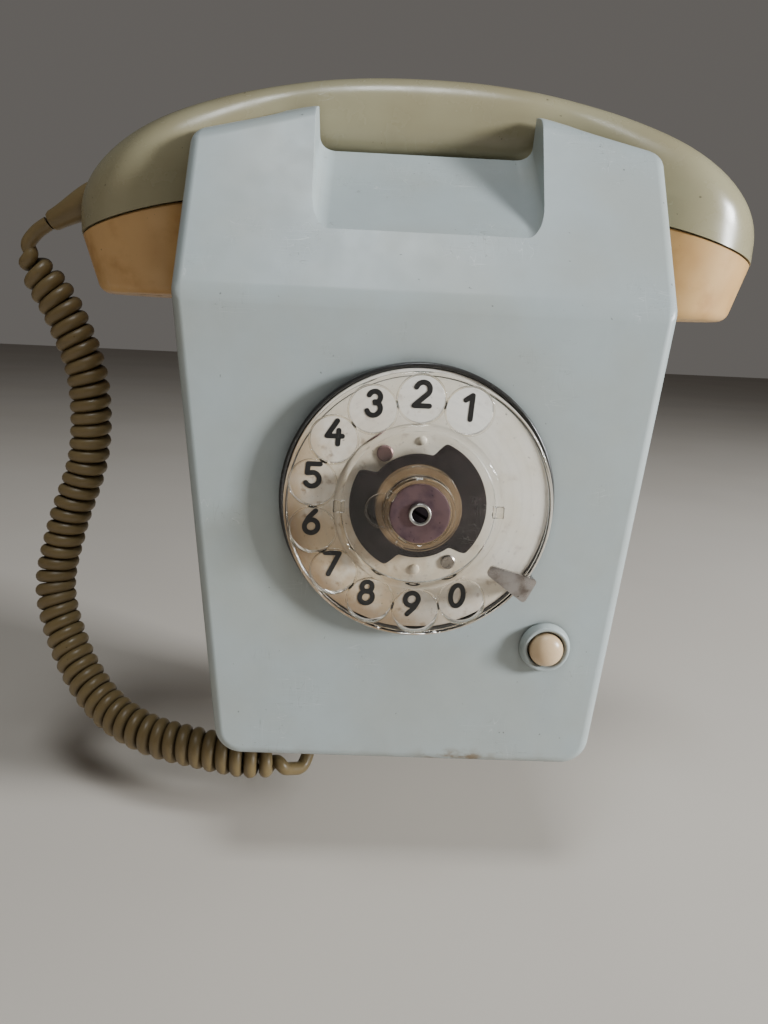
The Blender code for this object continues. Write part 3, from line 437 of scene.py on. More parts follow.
def case_plastic():
    shade, base, rough = plastic("case_plastic", CASE_COLOUR, CASE_STAIN, 0.36, 0.45, 0.55, 0.9, 0.55)
    low = shade.band(shade.along((0, 0, 1)), up(6), up(2))
    patchy = shade.band(shade.noise(4, 5, (0.6, 1, 1)), 0.42, 0.62)
    beside = shade.math("ABSOLUTE", shade.math("SUBTRACT", shade.along((1, 0, 0)), 17.0))
    side = shade.band(beside, 16, 3, 0.12, 0.9)
    darkening = shade.math("MULTIPLY", shade.math("MULTIPLY", low, patchy), side)
    base = shade.mix(darkening, base, (0.20, 0.13, 0.06))
    scuffs = shade.math("MULTIPLY", shade.scratches(5.0), 0.55)
    base = shade.mix(scuffs, base, (0.16, 0.16, 0.15))
    return shade.finish(base, rough)


def simple_plastic(name, colour, stain, roughness, **more):
    shade, base, rough = plastic(name, colour, stain, roughness, **more)
    return shade.finish(base, rough)


def handset_plastic():
    shade, base, rough = plastic("handset_plastic", HANDSET_COLOUR, HANDSET_STAIN, 0.24, 0.5, 0.7, 0.7, 0.4)
    return shade.finish(base, rough)


def cream_plastic(name, colour, stain):
    """Yellowed cream, browner in patches."""
    shade, base, rough = plastic(name, colour, stain, 0.34, 0.6, 0.8, 0.3, 0.7)
    patches = shade.band(shade.noise(12, 4), 0.48, 0.72, 0.0, 0.5)
    base = shade.mix(patches, base, stain)
    return shade.finish(base, rough)


def plate_enamel():
    """Cream enamel, whiter at the right and browner at the left and the bottom, the side away from the light:
    brown stain together with painted shade, strongest near the rim there.
    """
    shade = Shade("number_enamel")
    # The lower left is the side away from the light; its brown is stain together with painted shade.
    towards = shade.along((-0.75, 0, -0.66))
    lower_left_stain_and_shade = shade.band(towards, -28, 32, 0.02, 0.95)
    cloudy = shade.band(shade.noise(8, 5), 0.30, 0.62, 0.35, 1.0)
    base = shade.mix(shade.math("MULTIPLY", lower_left_stain_and_shade, cloudy), (0.93, 0.90, 0.83), (0.60, 0.45, 0.28))
    spread = shade.band(towards, -34, 30, 0.2, 1.0)
    blots = shade.math("MULTIPLY", shade.band(shade.noise(3.4, 4), 0.56, 0.72, 0.0, 0.75), spread)
    base = shade.mix(blots, base, (0.24, 0.14, 0.07))
    # Browner near the rim at the lower left, where the raised ring meets the plate: stain together with painted
    # shade.
    rim = shade.math("MULTIPLY", shade.band(shade.radius(), 30, 36, 0.0, 0.8), shade.band(towards, 0, 34))
    base = shade.mix(rim, base, (0.26, 0.16, 0.08))
    base = shade.mix(shade.band(shade.noise(0.9, 1), 0.72, 0.76, 0.0, 0.6), base, (0.10, 0.07, 0.05))
    # Fine concentric grooves in the bump, and faint ring lines painted into the colour: a painted reflection of
    # those grooves.
    rings = shade.math("SINE", shade.math("MULTIPLY", shade.radius(), 2.4))
    base = shade.mix(shade.math("MULTIPLY", shade.band(rings, 0.2, 1.0), 0.06), base, (0.3, 0.3, 0.3))
    shade.bump(rings, 0.05, 0.05)
    return shade.finish(base, shade.band(shade.noise(5, 3), 0.3, 0.7, 0.3, 0.45))


def clear_plastic():
    """Scratched clear acrylic. Light passes it to what lies behind, so that nothing there is in the dark."""
    shade = Shade("clear_plastic")
    lines = shade.scratches(5.0)
    haze = shade.band(shade.noise(7, 4), 0.35, 0.7, 0.03, 0.10)
    shade.bump(shade.math("ADD", shade.noise(3.0, 2), shade.math("MULTIPLY", lines, 2.0)), 0.12, 0.03)
    tint = shade.mix(shade.band(shade.noise(10, 3), 0.4, 0.7), (0.95, 0.93, 0.89), (0.90, 0.86, 0.78))
    shade.finish(tint, shade.math("ADD", haze, shade.math("MULTIPLY", lines, 0.3)))
    shade.shader.inputs["Transmission Weight"].default_value = 1.0
    shade.shader.inputs["IOR"].default_value = 1.4
    rays = shade.nodes.new("ShaderNodeLightPath")
    passing = shade.math("MAXIMUM", rays.outputs["Is Shadow Ray"], rays.outputs["Is Diffuse Ray"])
    clear = shade.nodes.new("ShaderNodeBsdfTransparent")
    clear.inputs["Color"].default_value = (0.98, 0.97, 0.95, 1)
    mixed = shade.nodes.new("ShaderNodeMixShader")
    shade.set(mixed.inputs[0], passing)
    shade.set(mixed.inputs[1], shade.shader.outputs[0])
    shade.set(mixed.inputs[2], clear.outputs[0])
    shade.set(shade.output.inputs["Surface"], mixed.outputs[0])
    return shade.material


def metal(name, colour, tarnish, roughness, share=0.5, metallic=1.0):
    """Metal with tarnish in patches, specks and fine scratches."""
    shade = Shade(name)
    patches = shade.band(shade.noise(5, 5), 0.42, 0.7, 0.0, share)
    base = shade.mix(patches, colour, tarnish)
    pits = shade.band(shade.noise(0.8, 1.5), 0.68, 0.74, 0.0, 0.7)
    base = shade.mix(pits, base, tuple(0.3 * c for c in tarnish))
    lines = shade.scratches(4.0)
    rough = shade.math("ADD", shade.band(shade.noise(3, 3), 0.3, 0.7, roughness, roughness + 0.15),
                       shade.math("MULTIPLY", pits, 0.3))
    shade.bump(shade.math("ADD", shade.noise(0.7, 2), lines), 0.15, 0.03)
    return shade.finish(base, rough, metallic)


def carrier_metal():
    """Dull charcoal, with a tan washer's colour near the hub."""
    shade = Shade("dark_metal")
    base = shade.mix(shade.band(shade.noise(4, 5), 0.35, 0.7), (0.006, 0.004, 0.005), (0.018, 0.012, 0.014))
    hub = shade.math("MULTIPLY", shade.band(shade.radius(), 12.0, 11.4), shade.band(shade.radius(), 4.0, 4.4))
    base = shade.mix(hub, base, (0.22, 0.155, 0.095))
    lines = shade.scratches(4.0)
    base = shade.mix(shade.math("MULTIPLY", lines, 0.4), base, (0.5, 0.48, 0.45))
    shade.bump(lines, 0.2, 0.03)
    shade.shader.inputs["Specular IOR Level"].default_value = 0.08
    return shade.finish(base, shade.band(shade.noise(3, 3), 0.3, 0.7, 0.5, 0.65))


def rubber():
    shade, base, rough = plastic("cord_rubber", CORD_COLOUR, CORD_STAIN, 0.38, 0.5, 0.5, 0.2, 0.85)
    return shade.finish(base, rough)


def windings():
    """Varnished tape in fine turns."""
    shade = Shade("coil_wrap")
    turns = shade.math("SINE", shade.math("MULTIPLY", shade.along((0, 0, 1)), 9.0))
    base = shade.mix(shade.band(turns, -0.5, 0.8), (0.20, 0.07, 0.03), (0.52, 0.24, 0.10))
    base = shade.mix(shade.band(shade.noise(4, 3), 0.45, 0.7, 0.0, 0.5), base, (0.12, 0.06, 0.03))
    shade.bump(turns, 0.4, 0.15)
    return shade.finish(base, 0.4)


CASE_COLOUR, CASE_STAIN = (0.43, 0.485, 0.485), (0.41, 0.42, 0.37)
HANDSET_COLOUR, HANDSET_STAIN = (0.355, 0.32, 0.20), (0.29, 0.24, 0.135)
CORD_COLOUR, CORD_STAIN = (0.25, 0.18, 0.08), (0.15, 0.10, 0.04)


def make_materials():
    """A material for each of the record's slots."""
    return {
        "case_plastic": case_plastic(),
        "handset_plastic": handset_plastic(),
        "cream_plastic": cream_plastic("cream_plastic", (0.73, 0.45, 0.19), (0.44, 0.20, 0.05)),
        "button_plastic": cream_plastic("button_plastic", (0.74, 0.54, 0.33), (0.56, 0.37, 0.19)),
        "number_enamel": plate_enamel(),
        "clear_plastic": clear_plastic(),
        "black_plastic": simple_plastic("black_plastic", (0.018, 0.018, 0.018), (0.05, 0.045, 0.04), 0.3),
        "dark_metal": carrier_metal(),
        "clamp_metal": metal("clamp_metal", (0.20, 0.125, 0.13), (0.10, 0.065, 0.085), 0.36, 0.8, 0.8),
        "steel": metal("steel", (0.62, 0.61, 0.58), (0.30, 0.26, 0.2), 0.28),
        "chrome": metal("chrome", (0.42, 0.39, 0.37), (0.13, 0.10, 0.08), 0.24, 0.8),
        "brass": metal("brass", (0.72, 0.53, 0.24), (0.35, 0.22, 0.08), 0.28),
        "plated_plate": metal("plated_plate", (0.55, 0.55, 0.5), (0.38, 0.34, 0.24), 0.35),
        "cord_rubber": rubber(),
        "coil_wrap": windings(),
        "board_laminate": simple_plastic("board_laminate", (0.3, 0.17, 0.07), (0.2, 0.1, 0.04), 0.45),
        "capsule_metal": metal("capsule_metal", (0.56, 0.56, 0.54), (0.35, 0.34, 0.3), 0.35),
        "can_metal": metal("can_metal", (0.6, 0.58, 0.54), (0.4, 0.36, 0.3), 0.32),
        "insulator": simple_plastic("insulator", (0.15, 0.1, 0.07), (0.09, 0.06, 0.04), 0.5),
    }


# ---------------------------------------------------------------- pieces


def new_piece(name, bm, sharp=32):
    """An object from millimetre geometry, in the object's frame, with edges over sharp degrees kept crisp."""
    bmesh.ops.scale(bm, verts=bm.verts, vec=(MM, MM, MM))
    bmesh.ops.recalc_face_normals(bm, faces=bm.faces)
    mesh = bpy.data.meshes.new(name)
    bm.to_mesh(mesh)
    bm.free()
    mesh.shade_smooth()
    mesh.set_sharp_from_angle(angle=math.radians(sharp))
    obj = bpy.data.objects.new(name, mesh)
    bpy.context.scene.collection.objects.link(obj)
    return obj


def boolean(obj, bm, operation="DIFFERENCE"):
    """Cuts millimetre geometry from obj, or joins it, and throws the cutter away."""
    other = new_piece("cutter", bm)
    modifier = obj.modifiers.new("boolean", "BOOLEAN")
    modifier.object = other
    modifier.operation = operation
    modifier.solver = "EXACT"
    settle(obj)
    bpy.data.objects.remove(other, do_unlink=True)
    return obj


def settle(obj, sharp=32):
    """Replaces obj's mesh by its evaluated one, and drops its modifiers."""
    bpy.context.view_layer.update()
    graph = bpy.context.evaluated_depsgraph_get()
    mesh = bpy.data.meshes.new_from_object(obj.evaluated_get(graph))
    obj.modifiers.clear()
    obj.data = mesh
    mesh.shade_smooth()
    mesh.set_sharp_from_angle(angle=math.radians(sharp))
    return obj


def bevel(obj, width, segments, angle=35, clamp=True):
    modifier = obj.modifiers.new("bevel", "BEVEL")
    modifier.width = width * MM
    modifier.segments = segments
    modifier.limit_method = "ANGLE"
    modifier.angle_limit = math.radians(angle)
    modifier.use_clamp_overlap = clamp
    return settle(obj)


def flatten(obj):
    """Shading that keeps broad faces flat between their rounded edges."""
    modifier = obj.modifiers.new("flat_faces", "WEIGHTED_NORMAL")
    modifier.mode = "FACE_AREA"
    modifier.weight = 100
    modifier.keep_sharp = True


def place_piece(obj, body, slot, *nodes):
    """Gives a piece its material and the body it moves with, and hides the CAD nodes it stands for."""
    obj.data.materials.clear()
    obj.data.materials.append(MATERIALS[slot])
    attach(obj, body)
    if nodes:
        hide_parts(*nodes)
    return obj


def annulus(inner, outer, near, far, segments, place):
    return turned(tube_profile(inner, outer, near, far), segments, place)


# ---------------------------------------------------------------- case


def notch_shape(grow=0.0):
    """The gap between the horns, with a floor that rises towards the wall."""
    bottom = up(NOTCH_HEIGHT) - grow
    top = up(NOTCH_HEIGHT + 95)
    flare = (NOTCH_TOP_HALF - NOTCH_BOTTOM_HALF) / (HORN_INNER_HEIGHT - NOTCH_HEIGHT)
    half = NOTCH_BOTTOM_HALF + grow
    top_half = half + flare * (top - bottom)
    corners = [(-half, bottom), (half, bottom), (top_half, top), (-top_half, top)]
    outline = rounded(corners, NOTCH_CORNER_RADIUS + grow, 8)
    rings = []
    for depth in (CASE_DEPTH + 12, HORN_REAR_DEPTH - 12):
        rise = (facet_depth(NOTCH_HEIGHT) - depth) * NOTCH_SLOPE
        rings.append([(x, -depth, z + rise) for x, z in outline])
    return loft(rings)


def pocket_shape(grow=0.0):
    """Recesses behind the horns for the handset's two cups."""
    bm = bmesh.new()
    inner = POCKET_HALF - grow
    low = POCKET_FRONT_DEPTH + grow
    high = POCKET_REAR_DEPTH - grow
    for side in (-1, 1):
        corners = [(inner, -low), (110, -low), (110, -high), (inner, -high)]
        plan = [(side * x, y) for x, y in rounded(corners, 9.0, 8)]
        floor = up(POCKET_FLOOR_HEIGHT - grow)
        loft([[(x, y, z) for x, y in plan] for z in (floor, up(240))], bm)
    return bm


def trough_shape(grow=0.0):
    """The seat that the handset's handle lies in."""
    front = HORN_REAR_DEPTH + grow
    rear = TROUGH_REAR_DEPTH - grow
    seat = up(SEAT_HEIGHT) - grow
    corners = [(-front, seat), (-rear, seat), (-rear, up(240)), (-front, up(240))]
    profile = rounded(corners, 4.0, 6)
    return loft([[(x, y, z) for y, z in profile] for x in (-90, 90)])


def build_case():
    case = new_piece("case", hull(case_points(0, 0)))
    hollow = new_piece("hollow", hull(case_points(WALL, 5)))
    bevel(case, EDGE_RADIUS, 6, 18, clamp=False)
    boolean(case, notch_shape())
    bevel(case, NOTCH_EDGE_RADIUS, 4, 40)
    boolean(hollow, notch_shape(WALL))
    for shape in (pocket_shape, trough_shape):
        boolean(case, shape())
        boolean(hollow, shape(WALL))
    inside = bmesh.new()
    inside.from_mesh(hollow.data)
    bmesh.ops.scale(inside, verts=inside.verts, vec=(1 / MM, 1 / MM, 1 / MM))
    bpy.data.objects.remove(hollow, do_unlink=True)
    boolean(case, inside)
    boolean(case, rod(CUP_OPENING, 80, 95, 96, facing_front()))
    boolean(case, rod(BUTTON_RADIUS + 1.5, 80, 95, 48, facing_front(BUTTON_X, up(BUTTON_HEIGHT))))
    boolean(case, rod(5.5, up(-5), up(6), 32, standing(CORD_ENTRY_X, CORD_ENTRY_DEPTH)))
    boolean(case, rod(PLUNGER_RADIUS + 0.4, up(SEAT_HEIGHT - 9), up(SEAT_HEIGHT + 9), 32,
                      standing(0, HANDSET_DEPTH)))
    screws = bmesh.new()
    for side in (-1, 1):
        rod(2.3, up(-5), up(6), 24, standing(side * SCREW_X, SCREW_DEPTH), screws)
    boolean(case, screws)
    case.data.set_sharp_from_angle(angle=math.radians(17))
    flatten(case)
    place_piece(case, "base", "case_plastic", "case_shell")


CUP_OPENING = CUP_RADIUS + 0.6
SCREW_X = 34.0
SCREW_DEPTH = 11.0


def build_button():
    axis = facing_front(BUTTON_X, up(BUTTON_HEIGHT))
    inner = BUTTON_RADIUS + 0.4
    lip = [(inner + 0.9 + 0.7 * math.cos(a), 90.6 + 0.7 * math.sin(a))
           for a in (math.pi * (0.9 - 0.8 * i / 8) for i in range(9))]
    profile = [
        (inner, 82), (inner + 0.8, 82), (inner + 0.8, CASE_DEPTH + GAP),
        (BEZEL_RADIUS - 0.2, CASE_DEPTH + GAP),
        (BEZEL_RADIUS, 88.6), (BEZEL_RADIUS - 0.1, 89.3), *reversed(lip), (inner, 90.4),
    ]
    bezel = new_piece("button_collar", turned(profile, 64, axis), 50)
    place_piece(bezel, "base", "case_plastic", "button_bezel")
    dome = [(BUTTON_RADIUS * math.cos(a), 91.0 + 3.2 * math.sin(a))
            for a in (math.pi / 2 * i / 14 for i in range(14))]
    profile = [(0, 78), (1.8, 78), (1.8, 80), (inner + 0.6, 80), (inner + 0.6, 81.6), (BUTTON_RADIUS, 81.6),
               *dome, (0, 94.2)]
    cap = new_piece("button_dome", turned(profile, 64, axis), 50)
    place_piece(cap, "push_button", "button_plastic", "button_cap")


# ---------------------------------------------------------------- dial


def build_dial_ring():
    back = CASE_DEPTH + GAP
    profile = [
        (BASE_RADIUS, back), (BASE_RADIUS, 92.2), (BASE_RADIUS - 0.15, 92.6), (BASE_RADIUS - 0.5, 92.8),
        (PLATE_RADIUS + 0.6, 92.8), (PLATE_RADIUS + GAP, 92.5), (PLATE_RADIUS + GAP, 90.6), (31.5, 90.6),
        (31.5, 78), (3.5, 78), (3.5, 76), (CUP_RADIUS, 76), (CUP_RADIUS, back),
    ]
    ring = new_piece("dial_ring", turned(profile, 160, facing_front()), 50)
    place_piece(ring, "base", "black_plastic", "dial_base_ring")
    outer = PLATE_RADIUS
    plate = [(9, 90.9), (outer, 90.9), (outer, PLATE_FACE - 0.2), (outer - 0.2, PLATE_FACE), (9, PLATE_FACE)]
    plate = new_piece("plate_disc", turned(plate, 160, facing_front()))
    place_piece(plate, "base", "number_enamel", "number_plate")
    for name, slot, spots in PLATE_FIXINGS:
        heads = bmesh.new()
        for radius, angle, size in spots:
            x, z = polar(radius, angle)
            profile = [(0, PLATE_FACE + 0.05), (size, PLATE_FACE + 0.05), (size, PLATE_FACE + 0.4),
                       (size - 0.4, PLATE_FACE + 0.7), (0, PLATE_FACE + 0.8)]
            turned(profile, 28, facing_front(x, z), heads)
        place_piece(new_piece(name, heads), "base", slot)


def arc(x, z, radius, start, end, tall=1.0, steps=14):
    """Points on an arc, from start to end in degrees; tall stretches it upwards."""
    points = []
    for i in range(steps + 1):
        angle = math.radians(start + (end - start) * i / steps)
        points.append((x + radius * math.cos(angle), z + radius * tall * math.sin(angle)))
    return points


def digit_strokes():
    """The strokes of each digit, in a box 5 mm wide and 7 mm tall round its middle."""
    return {
        "1": [[(-1.3, 1.9), (0.5, 3.2), (0.5, -3.3)]],
        "2": [arc(0, 1.35, 1.9, 165, -35) + [(-2.0, -3.1), (2.2, -3.1)]],
        "3": [arc(0, 1.65, 1.6, 160, -80), arc(0, -1.4, 1.85, 85, -160)],
        "4": [[(0.5, 3.2), (-2.0, -1.0), (2.2, -1.0)], [(1.1, 0.6), (1.1, -3.2)]],
        "5": [[(1.9, 3.1), (-1.4, 3.1), (-1.5, 0.5)] + arc(0, -1.25, 1.95, 115, -150)],
        "6": [arc(0, -1.35, 1.9, 0, 360, 1.0, 28), [(-1.75, -0.6), (-0.9, 1.2), (0.9, 3.2)]],
        "7": [[(-2.0, 3.1), (2.1, 3.1), (-0.5, -3.2)]],
        "8": [arc(0, 1.75, 1.45, 0, 360, 1.0, 28), arc(0, -1.4, 1.85, 0, 360, 1.0, 28)],
        "9": [arc(0, 1.35, 1.9, 0, 360, 1.0, 28), [(1.75, 0.6), (0.9, -1.2), (-0.9, -3.2)]],
        "0": [arc(0, 0, 1.8, 0, 360, 1.75, 36)],
    }


def stroke(points, half, near, far, bm):
    """A flat line of even width with round ends, a little raised from its plate. Each part of it stands a
    few thousandths of a millimetre further out than the last, so that no two faces coincide."""
    for i, ((x0, z0), (x1, z1)) in enumerate(zip(points, points[1:])):
        length = math.hypot(x1 - x0, z1 - z0)
        angle = math.atan2(z1 - z0, x1 - x0)
        ends = arc(length, 0, half, -90, 90, 1.0, 6) + arc(0, 0, half, 90, 270, 1.0, 6)
        turn = Matrix.Rotation(angle, 2)
        outline = [tuple(turn @ Vector(p) + Vector((x0, z0))) for p in ends]
        prism(outline, near, far + 0.003 * i, bm)


def build_digits():
    bm = bmesh.new()
    for index, digit in enumerate("1234567890"):
        x, z = polar(DIGIT_CIRCLE, DIGIT_FIRST_ANGLE + HOLE_PITCH * index)
        for number, points in enumerate(digit_strokes()[digit]):
            placed = [(x + a + 0.06 * b, z + b) for a, b in points]
            stroke(placed, DIGIT_STROKE, PLATE_FACE + 0.04, PLATE_FACE + 0.10 + 0.0015 * number, bm)
    place_piece(new_piece("digits", bm), "base", "black_plastic")


def box_at(across, depth, half, degrees, bm):
    """A box that reaches across (low, high) from the dial's axis, turned to an angle."""
    start = len(bm.verts)
    block(across, depth, (-half, half), bm)
    bm.verts.ensure_lookup_table()
    turn = Matrix.Rotation(-math.radians(degrees), 4, "Y")
    bmesh.ops.transform(bm, matrix=turn, verts=bm.verts[start:])


def bead(radius, depth, half, tall):
    """A rounded ridge of a turned profile, from its outer side to its inner side."""
    return [(radius + half * math.cos(a), depth + tall * math.sin(a))
            for a in (math.pi * i / 12 for i in range(13))]


def build_finger_wheel():
    back = WHEEL_FRONT - WHEEL_THICKNESS
    front = WHEEL_FRONT
    profile = [
        (HUB_BORE, back), (WHEEL_RADIUS - 0.3, back), (WHEEL_RADIUS, back + 0.3),
        *bead(WHEEL_RADIUS - 0.6, front, 0.6, 0.6), *bead(21.95, front + 0.2, 1.1, 1.4),
        (20.8, front - 0.4), (HUB_RADIUS + 2.2, front - 0.4), (HUB_RADIUS + 2.1, front + 1.6),
        (HUB_RADIUS + 1.8, front + 2.0), (HUB_RADIUS + 0.4, front + 2.1), (HUB_RADIUS + 0.2, front + 2.5),
        (HUB_RADIUS, CLAMP_SEAT + 1.5), (HUB_RADIUS - 0.3, CLAMP_SEAT + 1.8), (HUB_BORE + 0.2, CLAMP_SEAT + 1.8),
        (HUB_BORE, CLAMP_SEAT + 1.6), (HUB_BORE, CLAMP_SEAT), (HUB_FLANGE_BORE, CLAMP_SEAT),
        (HUB_FLANGE_BORE, CLAMP_SEAT - 1.2), (HUB_BORE, CLAMP_SEAT - 1.2),
    ]
    wheel = new_piece("clear_wheel", turned(profile, 160, facing_front()))
    holes = bmesh.new()
    lips = bmesh.new()
    for digit in range(10):
        x, z = polar(HOLE_CIRCLE, FIRST_HOLE_ANGLE + digit * HOLE_PITCH)
        rod(HOLE_RADIUS, back - 3, front + 3, 64, facing_front(x, z), holes)
        inner = HOLE_RADIUS + 0.03
        lip = [(inner, front - 0.2), (inner + 0.5, front - 0.2), *bead(inner + 0.25, front + 0.1, 0.25, 0.3)]
        turned(lip, 64, facing_front(x, z), lips)
    boolean(wheel, holes)
    place_piece(wheel, "dial_rotor", "clear_plastic", "finger_wheel")
    place_piece(new_piece("hole_lips", lips), "dial_rotor", "clear_plastic")
    clips = bmesh.new()
    for angle in (0, 180):
        box_at((19.9, 23.0), (front - 0.1, front + 2.0), 1.6, angle, clips)
    for angle in (150, -120):
        box_at((HUB_BORE - 0.6, HUB_RADIUS + 0.8), (CLAMP_SEAT + 0.4, CLAMP_SEAT + 2.6), 1.1, angle, clips)
    clips = new_piece("wheel_clips", clips)
    bevel(clips, 0.25, 3)
    place_piece(clips, "dial_rotor", "clear_plastic")
    loop = []
    for i in range(41):
        x, z = polar(4.6, 55 + 250 * i / 40)
        loop.append((x - 9.6, -front - 2.6, z - 0.4))
    loop = new_piece("hub_loop", tube(loop, [0.28] * len(loop), 12), 60)
    place_piece(loop, "dial_rotor", "clear_plastic")


def build_dial_centre():
    outline = []
    for angle in range(-90, 270, 2):
        inside = max(min(angle - start, end - angle) for start, end in CARRIER_LOBES)
        outline.append(polar(14.5 + 4.3 * smoothstep(inside, 0, 10), angle))
    carrier = new_piece("lobed_carrier", prism(outline, 95.6, 97.0))
    boolean(carrier, rod(4.6, 90, 104, 48, facing_front()))
    bevel(carrier, 0.25, 2)
    place_piece(carrier, "dial_rotor", "dark_metal", "wheel_carrier")
    back = CLAMP_SEAT + GAP
    rim = HUB_BORE - 0.5
    disc = [(0, back), (rim - 0.3, back), (rim, back + 0.3), (rim, back + 1.2), (rim - 0.1, back + 1.5),
            (rim - 0.5, back + 1.6), (3.5, back + 0.9), (0, back + 0.9)]
    disc = new_piece("centre_disc", turned(disc, 96, facing_front()))
    place_piece(disc, "dial_rotor", "clamp_metal", "clamp_disc")
    seat = back + 1.2
    collar = [(2.15, seat - 0.25), (3.0, seat - 0.25), (3.0, seat + 0.9), (2.85, seat + 1.15),
              (2.55, seat + 1.2), (2.2, seat + 1.0)]
    collar = new_piece("screw_ring", turned(collar, 64, facing_front()), 50)
    place_piece(collar, "dial_rotor", "steel")
    head = [(0, seat), (2.1, seat), (2.1, seat + 0.8), (1.9, seat + 1.0), (0, seat + 1.1)]
    head = new_piece("slotted_screw", turned(head, 64, facing_front()))
    slot = block((-4, 4), (seat + 0.3, seat + 3), (-0.4, 0.4))
    boolean(head, moved(slot, Matrix.Rotation(math.radians(30), 4, "Y")))
    place_piece(head, "dial_rotor", "dark_metal", "centre_screw")


def build_finger_stop():
    x, z = polar(STOP_INNER_RADIUS, STOP_INNER_ANGLE)
    turn = Matrix.Rotation(-math.radians(STOP_INNER_ANGLE + STOP_SLANT), 4, "Y")
    place = Matrix.Translation((x, 0, z)) @ turn
    front = WHEEL_FRONT + 2.6
    corners = [(0, -1.4), (STOP_LENGTH, -3.8), (STOP_LENGTH, 3.8), (0, 1.4)]
    stop = new_piece("stop", moved(prism(rounded(corners, 1.0, 8), front, front + 1.2), place))
    leg = block((STOP_LENGTH - 1.2, STOP_LENGTH - 0.1), (92.8 + GAP, front + 0.8), (-3.1, 3.1))
    boolean(stop, moved(leg, place), "UNION")
    bevel(stop, 0.5, 4)
    place_piece(stop, "base", "chrome", "finger_stop")


# ---------------------------------------------------------------- handset


def handset_top(x):
    share = min(1.0, abs(x) / HANDSET_HALF)
    rise = HANDSET_TOP - HANDSET_END_HEIGHT
    return HANDSET_END_HEIGHT + rise * (1 - share**2.2) ** (1 / 1.7)


def parting_height(x):
    return PARTING_HEIGHT + PARTING_SLOPE * (CUP_X - abs(x))


def smoothstep(value, low, high):
    share = min(1.0, max(0.0, (value - low) / (high - low)))
    return share * share * (3 - 2 * share)


def handset_section(x, count):
    """A ring of points across the handset at x."""
    out = abs(x)
    inner_wall = CUP_X - CUP_OUTER_RADIUS
    top = handset_top(x)
    low = parting_height(x)
    bottom = low
    if out < inner_wall:
        share = max(0.0, (out - HANDLE_STRAIGHT_HALF) / (inner_wall - HANDLE_STRAIGHT_HALF))
        bottom = HANDLE_UNDERSIDE - (HANDLE_UNDERSIDE - low) * (1 - math.sqrt(1 - share**2))
    across = math.sqrt(max(0.0, CUP_OUTER_RADIUS**2 - (out - CUP_X) ** 2))
    low_half = across if out > CUP_X else (across**6 + HANDLE_HALF_DEPTH**6) ** (1 / 6)
    widening = (CUP_OUTER_RADIUS - HANDLE_HALF_DEPTH) * smoothstep(out, NECK_START, CUP_X)
    half = across if out > CUP_X else max(low_half, HANDLE_HALF_DEPTH + widening)
    cup = smoothstep(out, HANDLE_STRAIGHT_HALF, inner_wall + 4)
    shoulder = smoothstep(out, NECK_START - 4, inner_wall + 12)
    middle = (top + HANDLE_UNDERSIDE) / 2
    spring = middle + shoulder * (low + 0.3 * (top - low) - middle)
    ring = []
    for i in range(count):
        angle = 2 * math.pi * i / count
        cosine, sine = math.cos(angle), math.sin(angle)
        y = half * math.copysign(abs(cosine) ** 0.74, cosine)
        lift = abs(sine) ** 0.76
        z = spring + (top - spring) * lift
        if 2 * i > count:
            turn = 4 * i / count - 3
            rise = max(0.0, 2 * abs(turn) - 1)
            cup_y = (low_half + (half - low_half) * rise) * max(-1.0, min(1.0, 2 * turn))
            cup_z = bottom + (spring - bottom) * rise
            y += cup * (cup_y - y)
            z = spring - (spring - bottom) * lift
            z += cup * (cup_z - z)
        ring.append((y, z))
    return [(x, y - HANDSET_DEPTH, up(z)) for y, z in ring]


def handset_stations():
    """Where the sections stand along x: closer together where the shape turns."""
    end = CUP_X + CUP_OUTER_RADIUS * math.sin(math.radians(86))
    steps = 34
    half = [end * math.sin(math.pi / 2 * i / steps) for i in range(steps + 1)]
    inner = CUP_X - CUP_OUTER_RADIUS
    half = sorted(half + [inner - 3, inner - 1.2, inner - 0.4, inner])
    return [-x for x in reversed(half[1:])] + half


def slant_top(bm, low, high):
    """Raises a cup's upper parts on the handle's side, so that its top follows the parting line."""
    for vert in bm.verts:
        share = min(1.0, max(0.0, (vert.co.z - low) / (high - low)))
        vert.co.z += share * PARTING_SLOPE * (CUP_X - abs(vert.co.x))
    return bm


def build_caps():
    low, high = up(CAP_BOTTOM_HEIGHT), up(PARTING_HEIGHT) - GAP
    rim = CUP_OUTER_RADIUS - 0.3
    corner = 4.0
    turn = math.atan2(rim - CAP_BOTTOM_RADIUS - 1.3, high - low - 3)
    reach = CAP_BOTTOM_RADIUS + 1.6 - corner
    profile = [(0, low + 0.6), (reach * 0.8, low + 0.05)]
    for i in range(9):
        angle = -math.pi / 2 + (math.pi / 2 - turn) * i / 8
        profile.append((reach + corner * math.cos(angle), low + corner + corner * math.sin(angle)))
    profile += [(rim - 0.1, high - 0.5), (rim - 0.5, high), (rim - 2.6, high), (18.2, low + 3.4), (0, low + 3.4)]
    for side, name, node in ((-1, "mouthpiece", "mouthpiece_cap"), (1, "earpiece", "earpiece_cap")):
        axis = standing(side * CUP_X, HANDSET_DEPTH)
        cap = new_piece(name, slant_top(turned(profile, 96, axis), low + 3.4, high), 40)
        holes = bmesh.new()
        rod(1.1, low - 5, low + 6, 16, axis, holes)
        for i in range(6):
            x, y = polar(7.5, 60 * i)
            rod(1.1, low - 5, low + 6, 16, standing(side * CUP_X + x, HANDSET_DEPTH + y), holes)
        boolean(cap, holes)
        place_piece(cap, "handset", "cream_plastic", node)


